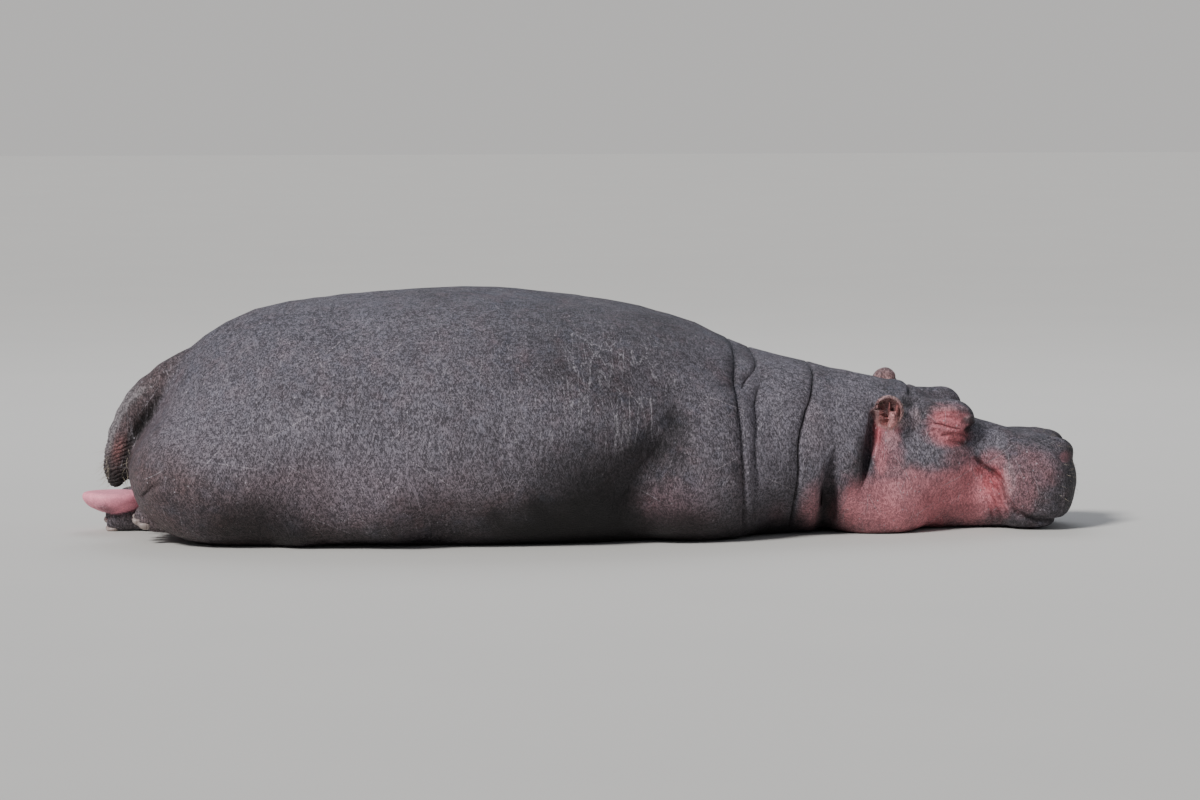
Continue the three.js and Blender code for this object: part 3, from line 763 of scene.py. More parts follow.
# %% Creases as lines in the side view
# crease: points (x, z), half width of the groove, depth, height of the swellings beside it, and 1
# for each of its two ends that fades out
CREASES = {
    "shoulder_fold": ([(.456, .76), (.454, .666), (.441, .597), (.434, .56), (.433, .531),
                       (.435, .511), (.435, .468), (.439, .415), (.444, .297), (.451, .185),
                       (.457, .102), (.461, 0)], .0045, .013, .0015, (0, 1)),
    "nape_fold": ([(.5, .76), (.509, .66), (.522, .645), (.527, .62), (.519, .592), (.503, .576),
                   (.483, .56), (.463, .538), (.449, .515)], .0045, .01, .0015, (0, 1)),
    "neck_fold": ([(.537, .575), (.528, .54), (.513, .514), (.503, .477), (.498, .393),
                   (.491, .333), (.496, .27), (.498, .206), (.495, .15), (.5, .05)],
                  .005, .009, .0015, (1, 1)),
    "throat_fold": ([(.735, .68), (.732, .588), (.731, .56), (.72, .534), (.704, .486),
                     (.684, .447), (.671, .406), (.657, .365), (.65, .316), (.652, .262),
                     (.651, .213), (.645, .162), (.641, .095), (.64, 0)], .0045, .013, .002, (0, 1)),
    "crown_fold": ([(1.093, .62), (1.09, .52), (1.082, .495), (1.07, .47)], .0075, .014, .003, (0, 1)),
    "mouth_corner": ([(1.29, .262), (1.314, .251), (1.344, .226), (1.38, .201), (1.398, .177),
                      (1.405, .152), (1.416, .116), (1.435, .091), (1.455, .065), (1.5, .045)],
                     .0075, .011, .004, (1, 1)),
    "lip_line": ([(1.455, .065), (1.5, .045), (1.56, .036), (1.62, .034), (1.72, .036)],
                 .007, .012, .003, (1, 0)),
    "chin_wrinkle_1": ([(1.365, .165), (1.388, .14), (1.398, .11), (1.412, .08), (1.43, .05)],
                       .004, .005, .002, (1, 1)),
    "chin_wrinkle_2": ([(1.362, .13), (1.378, .11), (1.388, .085), (1.402, .055), (1.412, .03)],
                       .004, .005, .002, (1, 1)),
    "chin_wrinkle_3": ([(1.345, .12), (1.36, .095), (1.37, .07), (1.382, .04), (1.39, .02)],
                       .004, .004, .002, (1, 1)),
    "eye_slit": ([(1.147, .387), (1.175, .381), (1.2, .3735), (1.225, .3675), (1.25, .3655)],
                 .003, .007, .002, (1, 1)),
    "lower_lid": ([(1.172, .34), (1.19, .343), (1.215, .35), (1.24, .349), (1.262, .34),
                   (1.284, .328)], .0036, .005, .002, (1, 1)),
    "under_eye": ([(1.185, .32), (1.2, .314), (1.22, .311), (1.245, .31), (1.275, .312)],
                  .007, .0035, .003, (1, 1)),
    "upper_lid": ([(1.158, .396), (1.18, .404), (1.205, .406), (1.23, .4), (1.25, .387)],
                  .0035, .0028, .0015, (1, 1)),
    "brow_wrinkle": ([(1.16, .414), (1.185, .421), (1.21, .422), (1.235, .415)],
                     .0035, .002, .001, (1, 1)),
    "eye_corner_1": ([(1.12, .405), (1.135, .398), (1.15, .388)], .003, .0018, .001, (1, 1)),
    "eye_corner_2": ([(1.118, .376), (1.135, .38), (1.15, .386)], .003, .0018, .001, (1, 1)),
    "eye_corner_3": ([(1.135, .352), (1.15, .362), (1.165, .368)], .003, .0018, .001, (1, 1)),
    "brow_ridge": ([(1.12, .45), (1.165, .44), (1.215, .437), (1.245, .428), (1.273, .408),
                    (1.3, .386), (1.335, .366)], .006, -.004, 0, (1, 1)),
    "rump_crease": ([(-1.535, .232), (-1.552, .222), (-1.572, .203), (-1.59, .182), (-1.6, .168)],
                    .005, .006, .002, (1, 1)),
    "flank_crease": ([(-.395, .5), (-.405, .4), (-.415, .25), (-.43, .12)], .02, .002, .001, (1, 1)),
}
FADE = 0.14  # share of a crease's length over which its end fades
RIGHT_ONLY = ["rump_crease"]  # the left leg is pushed back further, so its hide is stretched smooth
LINES |= {name: smooth_line(crease[0]) for name, crease in CREASES.items()}
print("creases:", len(CREASES))

# %% [markdown]
# ## A finer mesh where there is detail
# The net's corners stand about as far apart as a fingertip is wide. That is enough for a flank, but not
# for an eyelid. Triangles near slots, creases, eyes, ears, nostrils and the tail's rings are split in
# four, once or twice, and their neighbours are split to match, so that the mesh stays closed.

# %% Splitting triangles
def split(corners, triangles, chosen):
    """Splits the chosen triangles in four and mends their neighbours."""
    edges = np.sort(triangles[:, [0, 1, 1, 2, 2, 0]].reshape(-1, 2), axis=1)
    _, edge = np.unique(edges[:, 0] * len(corners) + edges[:, 1], return_inverse=True)
    edge = edge.reshape(-1, 3)
    cut = np.zeros(edge.max() + 1, bool)
    cut[edge[chosen]] = True
    while True:
        needs = cut[edge].sum(1) == 2
        if not needs.any():
            break
        cut[edge[needs]] = True
    place = np.zeros((len(cut), 2), int)
    place[edge.ravel()] = edges
    number = np.full(len(cut), -1)
    number[cut] = len(corners) + np.arange(cut.sum())
    middles = corners[place[cut]].mean(1)
    parts = cut[edge].sum(1)
    a, b, c = triangles[parts == 3].T
    ab, bc, ca = number[edge[parts == 3]].T
    four = [(a, ab, ca), (ab, b, bc), (ca, bc, c), (ab, bc, ca)]
    halves = []
    for k in range(3):
        one = (parts == 1) & cut[edge[:, k]]
        a, b, c = np.roll(triangles[one], -k, axis=1).T
        middle = number[edge[one, k]]
        halves += [(a, middle, c), (middle, b, c)]
    pieces = [np.stack(corner, 1) for corner in four + halves]
    return np.concatenate([corners, middles]), np.concatenate([triangles[parts == 0], *pieces])


_, one_split = split(np.eye(3), np.array([[0, 1, 2]]), np.array([True]))
print("one triangle is split in", len(one_split))

# %% Where the mesh is fine
SPOTS = ["ear_left", "ear_right", "eyelid_left", "eyelid_right"]
SPOT_MARGIN = 0.025  # how far round a spot the mesh is fine
FINE_WIDTH = 0.005  # a crease no wider than this is split twice
SLOT_SPAN, CREASE_SPAN = 4, 2.2  # how many half widths off its line the mesh is fine
FINEST_MARGIN = 0.004
RINGED_BELOW = 0.42  # height below which the tail has rings, so that its mesh is fine
TAIL_SPLIT, NOSTRIL_SPLIT = 0.012, 0.02  # distance within which the mesh is fine


def detail_near(p, finest):
    """Which points lie where the mesh needs more corners; finest picks the smallest details only."""
    view = side_view(p)
    found = np.zeros(len(p), bool)
    widths = {name: form[1] for name, form in (CREASES | SLOTS).items()}
    for name, width in widths.items():
        if finest and (width > FINE_WIDTH or name in SLOTS):
            continue
        span = SLOT_SPAN if name in SLOTS else CREASE_SPAN
        reach = span * width + (FINEST_MARGIN if finest else CELL)
        near = near_line(view, name, reach)
        if len(near):
            away, _ = off_line(view[near], LINES[name])
            found[near] |= np.abs(away) < reach
    for node in SPOTS:
        low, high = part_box(node)
        found |= ((p > np.array(low) - SPOT_MARGIN) & (p < np.array(high) + SPOT_MARGIN)).all(1)
    at_tail = near_box(p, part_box("tail"))
    found[at_tail] |= (tail_distance(p[at_tail]) < TAIL_SPLIT) & (p[at_tail, 2] < RINGED_BELOW)
    if not finest:
        at_nostril = near_box(p, NOSTRIL_BOX)
        found[at_nostril] |= nostril_distance(p[at_nostril]) < NOSTRIL_SPLIT
    return found


for finest in (False, True):
    found = detail_near(corners, finest)
    corners, triangles = split(corners, triangles, found[triangles].any(axis=1))
    corners = drawn_to_skin(corners, steps=2)
    print("after a split: corners", len(corners), "triangles", len(triangles))

# %% [markdown]
# ## Pressing the creases in
# Every corner now moves along the skin's own normal: inwards in a groove, a little outwards beside it.
# Broad hollows and swellings, and a slight unevenness all over, keep the hide from looking turned
# on a lathe, and the lower half of the tail gets its rings. How deep a point is in a crease is kept
# as a value from 0 to 1, by which the hide's material paints shade into the creases.

# %% Hollows, unevenness and rings
# middle (x, z) in the side view, its radii, and how far the skin stands out there
SWELLINGS = [
    ((.215, .43), (.045, .08), -.024), ((.145, .325), (.055, .085), -.04), ((.06, .2), (.08, .1), -.038),
    ((.25, .19), (.12, .13), .02), ((.765, .13), (.03, .14), -.03), ((.6, .3), (.06, .25), .008),
    ((.87, .28), (.04, .16), .006), ((.49, .58), (.025, .06), .004), ((.72, .2), (.035, .2), .006),
    ((1.33, .19), (.03, .05), -.006), ((1.3, .345), (.02, .02), -.005),
    ((-.6, .3), (.2, .22), .008), ((1.46, .17), (.035, .08), .006), ((1.05, .33), (.05, .04), -.008),
    ((1.25, .335), (.035, .016), .005),
]
WAVES = 7  # added up to make the skin uneven
RING_SPACING, RING_DEPTH = 0.0135, 0.004  # of the rings on the tail's lower half
TAIL_REACH = 0.01  # how far off the tail its rings are felt


def unevenness(p, size, seed):
    """Soft, irregular waves from about -1 to 1."""
    random = np.random.default_rng(seed)
    total = np.zeros(len(p))
    for _ in range(WAVES):
        way = random.normal(size=3)
        way *= 2 * math.pi / size / np.linalg.norm(way)
        total += np.sin(p @ way * random.uniform(0.7, 1.5) + random.uniform(0, 2 * math.pi))
    return total * 1.6 / WAVES


def tail_rings(p):
    """1 in the grooves between the rings of the tail's lower half, 0 on the rings."""
    height = p[:, 2] - 0.35 * p[:, 0] + 0.1 * p[:, 1]  # the rings stand square to the tail
    wave = np.abs(np.sin(height * math.pi / RING_SPACING + 0.7 * unevenness(p, 0.04, 8)))
    return eased(0.4 - p[:, 2], 0, 0.1) * (1 - wave) ** 2


print("hollows and swellings:", len(SWELLINGS))

# %% How deep the creases are
DARK_FROM = 0.012  # a groove at least this deep is fully dark
# in half widths of the groove: how far off its line a crease is felt, how far off it the swellings
# are highest, how wide they are, and how much the line wanders
CREASE_REACH, SWELL_AT, SWELL_WIDTH, WANDER = 11, 4.5, 3, 0.12


def crease_values(p):
    """How deep each point is in a crease, from 0 to 1, and its move along the normal in metres."""
    view = side_view(p)
    deep, move = np.zeros(len(p)), np.zeros(len(p))
    for name, (_, width, depth, swell, (fade_start, fade_end)) in CREASES.items():
        near = near_line(view, name, CREASE_REACH * width)
        if not len(near):
            continue
        away, along = off_line(view[near], LINES[name])
        away += WANDER * width * np.sin(view[near, 1] * 70)
        weight = np.ones(len(near))
        if fade_start:
            weight *= eased(along, 0, FADE)
        if fade_end:
            weight *= eased(1 - along, 0, FADE)
        if name in RIGHT_ONLY:
            weight *= p[near, 1] < 0
        groove = np.exp(-(away / width) ** 2) * weight
        pillow = np.exp(-((np.abs(away) - SWELL_AT * width) / (SWELL_WIDTH * width)) ** 2) * weight
        deep[near] = np.maximum(deep[near], groove * min(1, depth / DARK_FROM))
        move[near] += swell * pillow - depth * groove
    return deep, move


print("deepest crease:", max(crease[2] for crease in CREASES.values()), "m")


# %% Relief
def relief(p):
    """How far each point moves along the normal; the waves fade out towards the floor."""
    view = side_view(p)
    _, move = crease_values(p)
    for middle, radii, height in SWELLINGS:
        move += height * np.exp(-(((view - middle) / radii) ** 2).sum(1))
    lifted = eased(p[:, 2], 0.01, 0.06)
    move += lifted * (0.0045 * unevenness(p, 0.34, 1) + 0.0018 * unevenness(p, 0.11, 2))
    move += lifted * 0.0006 * unevenness(p, 0.035, 3)
    near = near_box(p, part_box("tail"))
    move[near] -= RING_DEPTH * tail_rings(p[near]) * (tail_distance(p[near]) < TAIL_REACH)
    return move


def normals_of(corners, triangles):
    """Unit normals at the corners, from the faces round each."""
    a, b, c = (corners[triangles[:, k]] for k in range(3))
    face = np.cross(b - a, c - a)
    along = [sum(np.bincount(triangles[:, k], face[:, axis], len(corners)) for k in range(3))
             for axis in range(3)]
    normal = np.stack(along, 1)
    return normal / np.maximum(np.linalg.norm(normal, axis=1, keepdims=True), 1e-12)


corners = corners + normals_of(corners, triangles) * relief(corners)[:, None]
corners[:, 2] = np.maximum(corners[:, 2], 0)
print("skin reaches from", corners.min(0).round(3), "to", corners.max(0).round(3))

# %% [markdown]
# ## The skin as a Blender mesh
# The arrays become a mesh, and a Decimate modifier then joins triangles where the skin is smooth. A
# vertex group tells it to thin out the trunk first and to spare the head, the tail and what is near
# them. Where two sheets of skin nearly touch, as in the cup of an ear, this can leave a loose crumb
# of a few faces. Only the largest piece is kept, so the skin is one closed mesh.

# %% Mesh helpers
def applied(obj):
    """Turns an object with modifiers into a plain mesh object."""
    depsgraph = bpy.context.evaluated_depsgraph_get()
    mesh = bpy.data.meshes.new_from_object(obj.evaluated_get(depsgraph))
    obj.modifiers.clear()
    obj.data = mesh
    return obj


def drop_crumbs(mesh):
    """Keeps the largest piece of a mesh, and deletes crumbs, also those that touch it at a corner."""
    bm = bmesh.new()
    bm.from_mesh(mesh)
    waiting, pieces = set(bm.faces), []
    while waiting:
        piece = [waiting.pop()]
        for face in piece:
            sides = [edge for edge in face.edges if len(edge.link_faces) == 2]
            beside = {f for edge in sides for f in edge.link_faces} & waiting
            waiting -= beside
            piece.extend(beside)
        pieces.append(piece)
    pieces.sort(key=len)
    bmesh.ops.delete(bm, geom=sum(pieces[:-1], []), context="FACES")
    bm.to_mesh(mesh)
    bm.free()
    return len(pieces) - 1


print("helpers:", applied.__name__, drop_crumbs.__name__)

# %% Skin mesh
mesh = bpy.data.meshes.new("skin")
mesh.vertices.add(len(corners))
mesh.vertices.foreach_set("co", corners.astype(np.float32).ravel())
mesh.loops.add(3 * len(triangles))
mesh.loops.foreach_set("vertex_index", triangles.astype(np.int32).ravel())
mesh.polygons.add(len(triangles))
mesh.polygons.foreach_set("loop_start", np.arange(0, 3 * len(triangles), 3, dtype=np.int32))
mesh.update(calc_edges=True)
skin = bpy.data.objects.new("skin", mesh)
bpy.context.scene.collection.objects.link(skin)
print("faces before thinning out:", len(mesh.polygons))

# %% Thinning out
SKIN_TRIANGLES = 190_000
LEVELS = 4  # steps from the most spared corners to the least
LEAST_WEIGHT = 0.15  # of a corner in the group that is thinned out

thin_out = skin.vertex_groups.new(name="thin_out")
spare = eased(corners[:, 0], 0.8, 0.95) + eased(-corners[:, 0], 1.5, 1.6)
for level in range(LEVELS + 1):
    picked = np.flatnonzero(np.round(np.clip(1 - spare, 0, 1) * LEVELS) == level)
    thin_out.add(picked.tolist(), LEAST_WEIGHT + (1 - LEAST_WEIGHT) * level / LEVELS, "REPLACE")
thinner = skin.modifiers.new("thinner", "DECIMATE")
thinner.ratio = min(1, SKIN_TRIANGLES / len(triangles))
thinner.vertex_group = "thin_out"
thinner.vertex_group_factor = 0.6
applied(skin)
print("crumbs dropped:", drop_crumbs(skin.data))
skin.vertex_groups.clear()
skin.data.shade_smooth()
print("skin triangles:", sum(len(face.vertices) - 2 for face in skin.data.polygons))

# %% [markdown]
# ## Where the hide changes colour
# A hippopotamus is slate grey with a violet cast, with a painted bluish sheen of the sky above, browner
# low on the flanks, and pink where the skin is thin: round the eyes and ears, on the cheeks and in the
# folds. Painted shade darkens it below, in hollows and where its parts meet, and the deepest hollows,
# which little light reaches, get near-black painted shade. Painted light brightens the neck, the head,
# the back and parts of the flanks, and painted highlights of sheen lie on the brow, round the ear and
# on the neck. These zones follow the body, so they are painted on the mesh as values from 0 to 1, and
# the hide's material reads them.

# %% Colour zones
# zone: patches in the side view, each with its middle (x, z), radii and strength
ZONES = {
    "pink": [
        ((.925, .08), (.135, .14), .8), ((1.08, .09), (.2, .15), 1), ((1.28, .12), (.16, .13), 1),
        ((1.385, .14), (.05, .09), .9), ((1.195, .374), (.086, .074), 1), ((.985, .372), (.05, .04), 1),
        ((.86, .1), (.05, .1), .9), ((1.37, .25), (.05, .04), .45), ((.99, .34), (.04, .05), .7),
        ((1.24, .25), (.07, .05), .25), ((.955, .29), (.03, .09), .8), ((.99, .25), (.06, .09), .45),
        ((.59, .08), (.04, .04), .2), ((.705, .08), (.045, .1), .55), ((.2, .13), (.14, .09), .2),
        ((1.63, .26), (.03, .02), .5), ((1.47, .14), (.05, .1), .3), ((-.9, .2), (.4, .12), .04),
        ((1.5, .22), (.1, .08), .2),
    ],
    "red": [
        ((1.37, .18), (.04, .06), 1), ((1.34, .215), (.03, .025), .9), ((1.385, .11), (.025, .07), .6),
        ((1.235, .335), (.065, .028), .55), ((1.2, .405), (.06, .035), .6), ((.985, .385), (.03, .02), .5),
        ((.945, .37), (.012, .06), .9), ((1.2, .09), (.14, .06), .25),
    ],
    "brown": [
        ((-1.5, .2), (.22, .22), 1), ((-1.2, .17), (.4, .2), 1), ((-.7, .2), (.5, .16), .5),
        ((-1.55, .45), (.12, .1), .5), ((.3, .2), (.2, .2), .3), ((1.5, .15), (.1, .12), .35),
        ((-.2, .25), (.3, .15), .2),
    ],
    # pale: painted highlights of sheen on the brow ridge, round the ear, on the neck, cheek and mouth
    "pale": [
        ((1.05, .2), (.09, .1), .15), ((.7, .37), (.035, .12), .2),
        ((1.035, .39), (.03, .02), .8), ((.995, .34), (.03, .04), .5), ((1.42, .18), (.02, .07), .5),
        ((1.085, .405), (.025, .04), .6), ((1.19, .437), (.07, .01), .35), ((1.28, .4), (.025, .012), .7),
    ],
    # light: painted light on the neck, head, back and flanks
    "light": [
        ((.485, .35), (.05, .3), 1), ((1.14, .27), (.08, .08), .95), ((-1.28, .4), (.3, .2), .8),
        ((-.8, .3), (.3, .14), .9), ((1.21, .48), (.07, .03), .9), ((-.55, .4), (.55, .22), .7),
        ((.76, .36), (.06, .13), 1), ((.36, .63), (.08, .06), .6), ((.6, .35), (.17, .33), .9),
        ((.8, .38), (.08, .16), .9), ((1.06, .33), (.1, .09), .9), ((1.36, .33), (.06, .07), .9),
        ((.88, .46), (.12, .12), .95), ((-1.05, .4), (.22, .12), 1), ((-.85, .66), (.6, .22), .55),
        ((-.05, .76), (.12, .08), .25), ((.36, .3), (.1, .16), .6), ((.25, .55), (.15, .12), .5),
        ((-.72, .33), (.2, .14), 1), ((.28, .14), (.14, .1), .7), ((-1.0, .2), (.3, .12), .6),
        ((1.02, .45), (.1, .06), .4), ((-1.1, .6), (.3, .12), .2),
    ],
    # dark: painted shade under the belly, rump, neck and head, in hollows, round the eye and at the front
    # of the muzzle
    "dark": [
        ((.02, .0), (.62, .17), .95), ((-1.17, .06), (.22, .14), .85), ((-.8, .0), (.2, .05), .6),
        ((.1, .0), (.9, .1), .9), ((-.04, .2), (.17, .12), .85), ((.11, .32), (.08, .09), .95),
        ((-.1, .28), (.2, .11), .75), ((.2, .41), (.035, .08), .7), ((.02, .66), (.3, .22), .22),
        ((1.065, .46), (.03, .025), .9), ((-.3, -.02), (1.3, .085), .8), ((.56, .07), (.16, .07), .6),
        ((.61, .13), (.07, .12), .5), ((1.235, .42), (.03, .02), .35), ((1.3, .05), (.16, .05), .4),
        ((1.262, .392), (.02, .012), .6), ((1.29, .392), (.02, .018), .9),
        ((.76, .04), (.035, .16), .95), ((1.69, .2), (.07, .18), .6), ((1.15, .0), (.3, .025), .6),
        ((.875, .24), (.03, .12), .35),
    ],
    "shade": [
        ((-.15, .06), (.28, .155), 1), ((-.06, .15), (.17, .11), .6), ((.782, .05), (.034, .15), .75),
        ((1.283, .361), (.022, .017), 1), ((.6, .02), (.09, .06), .6),
    ],
}
print("patches:", {zone: len(patches) for zone, patches in ZONES.items()})

# %% Painting the zones
PATCH_CORE, PATCH_EDGE = 0.55, 1.25  # a patch fades between these shares of its radii


def zone_values(p, zone):
    """How strongly a zone shows at each point; the flat crown of the head is left out of it."""
    view = side_view(p)
    rough_edge = 0.16 * unevenness(p, 0.12, 5) + 0.08 * unevenness(p, 0.04, 6)
    kept = np.zeros(len(p))
    for middle, radii, strength in ZONES[zone]:
        away = np.sqrt((((view - middle) / radii) ** 2).sum(1)) + rough_edge
        kept = np.maximum(kept, strength * (1 - eased(away, PATCH_CORE, PATCH_EDGE)))
    on_crown = eased(p[:, 0], 1.02, 1.08) * eased(view[:, 1], 0.34, 0.38)
    outward = eased(folded(p)[:, 1], 0.1, 0.14)
    return kept * (1 - on_crown * (1 - outward))


def paint(obj, name, values):
    """Keeps one value for each corner of the mesh, under a name that a material can read."""
    attribute = obj.data.attributes.new(name, "FLOAT", "POINT")
    attribute.data.foreach_set("value", np.clip(values, 0, 1).astype(np.float32))


def read_vectors(items, key):
    """The three numbers that each item of a mesh keeps under a key, as an array."""
    numbers = np.empty(len(items) * 3, np.float32)
    items.foreach_get(key, numbers)
    return numbers.reshape(-1, 3)


skin_corners = read_vectors(skin.data.vertices, "co").astype(float)
skin_x, _, skin_z = skin_corners.T
for zone in ZONES:
    paint(skin, zone, zone_values(skin_corners, zone))
print("corners painted:", len(skin_corners))

# %% Creases and slots
SLOT_DARKNESS = 0.42  # of a slot's inside, where 1 is that of the deepest crease
SLOT_PAINT = 0.02  # how far off its line a slot is painted
SUNK_FROM, SUNK_TO = 0.006, 0.02  # depth under the unslotted body where the paint sets in

# painted shade: how dark each point is painted in a crease or slot
deep, _ = crease_values(skin_corners)
view = side_view(skin_corners)
for name in SLOTS:
    near = near_line(view, name, ROOM)
    away, _ = off_line(view[near], LINES[name])
    in_slot = 1 - eased(np.where(away > 0, away, -away * SLOTS[name][3]), 0, SLOT_PAINT)
    sunk = eased(-body_distance(skin_corners[near]), SUNK_FROM, SUNK_TO)
    deep[near] = np.maximum(deep[near], SLOT_DARKNESS * in_slot * sunk)
paint(skin, "deep", deep)
print("corners in creases and slots:", int((deep > 0.1).sum()))


# %% Ears and feet
def part_value(p, node, distance, low, high):
    """1 on points that lie on a part, and 0 away from it."""
    kept = np.zeros(len(p))
    near = near_box(p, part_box(node))
    kept[near] = 1 - eased(distance(p[near]), low, high)
    return kept


def ear_value(form, low, high):
    """1 on both ears where a form in the ear's own axes is near."""
    distance = lambda p: form(ear_axes(p))
    return np.maximum(*(part_value(skin_corners, "ear_" + side, distance, low, high) for side in SIDES))


def ear_inside(q):
    """Distance from the room inside the ear, of points in the ear's own axes."""
    return np.minimum(*(blob(q - middle, radii) for middle, radii in EAR_HOLLOWS))


pink_lobe, pink_lobe_radii = EAR_LOBES[0]
paint(skin, "ear", ear_value(lambda q: blob(q, EAR_RADII), 0.002, 0.012))
paint(skin, "ear_inside", ear_value(ear_inside, -0.002, 0.004))
paint(skin, "ear_lobe", ear_value(lambda q: blob(q - pink_lobe, pink_lobe_radii), 0.0, 0.006))
paint(skin, "sole", part_value(skin_corners, "hindfoot_left", sole_distance, 0.003, 0.012))
feet = [part_value(skin_corners, f, lambda p, f=f: foot_distance(p, f), 0.01, 0.05) for f in FEET]
on_feet = np.max(feet, 0)
paint(skin, "foot", on_feet)
print("corners on the feet:", int((on_feet > 0.5).sum()))

# %% [markdown]
# ## Painting the tail
# The tail's rear edge gets a painted highlight and its front one painted shade, as do the grooves
# between its rings; its tip is darker, and it is pinkish half way down. A painted shadow fills the gap
# that parts it from the rump in front of it. How far a point is from the tail's middle line, in half
# widths, and its height above the floor place all of these.

# %% Tail
tail_line_x, tail_line_z, tail_wide = (np.array([joint[k] for joint in TAIL[::-1]]) for k in (0, 2, 3))
off_middle = skin_x - np.interp(skin_z, tail_line_z, tail_line_x)
off_middle /= np.interp(skin_z, tail_line_z, tail_wide)  # -1 at its rear edge, 1 at its front one
TAIL_PAINT, GAP_PAINT = 0.014, 0.03  # how far off the tail its own paint and the gap's reach
# in half widths: where the painted shade on the front and the painted highlight on the rim set in, and the
# middle of the pink and of the gap's painted shadow
SHADED_FRONT, HIGHLIGHT_RIM, PINK_AT, GAP_AT, SPREAD = (0.0, 0.7), (0.45, 0.85), -0.1, 1.25, 0.5
# heights between which the darker tip, the highlight on the rim and the gap's painted shadow come or go
TIP_ENDS, RIM_BEGINS, RIM_ENDS = (0.2, 0.32), (0.24, 0.36), (0.5, 0.56)
GAP_BEGINS, GAP_ENDS = (0.16, 0.24), (0.44, 0.54)
PINK_HEIGHT, PINK_TALL = 0.31, 0.05
RING_DARKNESS = 0.7

on_tail = part_value(skin_corners, "tail", tail_distance, 0.0, TAIL_PAINT)
paint(skin, "tail", on_tail)
# painted shade on the tail's front edge and in the grooves between its rings, and a darker tip
tail_shade = np.maximum(eased(off_middle, *SHADED_FRONT), 1 - eased(skin_z, *TIP_ENDS))
tail_shade = np.maximum(tail_shade, RING_DARKNESS * tail_rings(skin_corners))
paint(skin, "tail_dark", on_tail * tail_shade)
# painted highlight along the tail's rear edge
tail_rim = eased(-off_middle, *HIGHLIGHT_RIM) * eased(skin_z, *RIM_BEGINS)
paint(skin, "tail_rim", on_tail * tail_rim * (1 - eased(skin_z, *RIM_ENDS)))
at_height = np.exp(-((skin_z - PINK_HEIGHT) / PINK_TALL) ** 2)
paint(skin, "tail_pink", on_tail * at_height * np.exp(-((off_middle - PINK_AT) / SPREAD) ** 2))
# painted shadow in the gap between the tail and the rump
tail_gap = part_value(skin_corners, "tail", tail_distance, 0.0, GAP_PAINT)
tail_gap *= np.exp(-((off_middle - GAP_AT) / SPREAD) ** 2) * eased(skin_z, *GAP_BEGINS)
paint(skin, "tail_gap", tail_gap * (1 - eased(skin_z, *GAP_ENDS)))
print("corners on the tail:", int((on_tail > 0.5).sum()))

# %% Which way the skin faces
ahead, across, up = np.abs(read_vectors(skin.data.vertex_normals, "vector").T)
paint(skin, "side", eased(across, 0.35, 0.65))
paint(skin, "upside", eased(up, 0.6, 0.85) * (across < 0.7))
paint(skin, "rear", eased(ahead, 0.6, 0.85))
# the front of the muzzle: the hide paints shade there, and bristles grow thicker there
muzzle_front = eased(skin_x, 1.58, 1.68)
paint(skin, "muzzle", muzzle_front)
print("painted:", [a.name for a in skin.data.attributes if a.data_type == "FLOAT"])

# %% [markdown]
# ## Writing materials as expressions
# A material is a tree of nodes. Wiring nodes by hand is long-winded, so a small class wraps a node's
# output and lets Python's own signs make the Math nodes: `1 - mask * 0.5` adds two of them. Every
# other node comes from one method, which takes its type, its settings and its inputs.

# %% Material helpers
class Value:
    """An output of a node that can be used in sums."""

    def __init__(self, finish, socket):
        self.finish = finish
        self.socket = socket

    def _math(self, operation, first, second):
        return self.finish.node("ShaderNodeMath", {"operation": operation}, {0: first, 1: second})

    def __add__(self, other):
        return self._math("ADD", self, other)

    def __radd__(self, other):
        return self._math("ADD", other, self)

    def __sub__(self, other):
        return self._math("SUBTRACT", self, other)

    def __rsub__(self, other):
        return self._math("SUBTRACT", other, self)

    def __mul__(self, other):
        return self._math("MULTIPLY", self, other)

    def __rmul__(self, other):
        return self._math("MULTIPLY", other, self)

    def __abs__(self):
        return self._math("ABSOLUTE", self, 0)


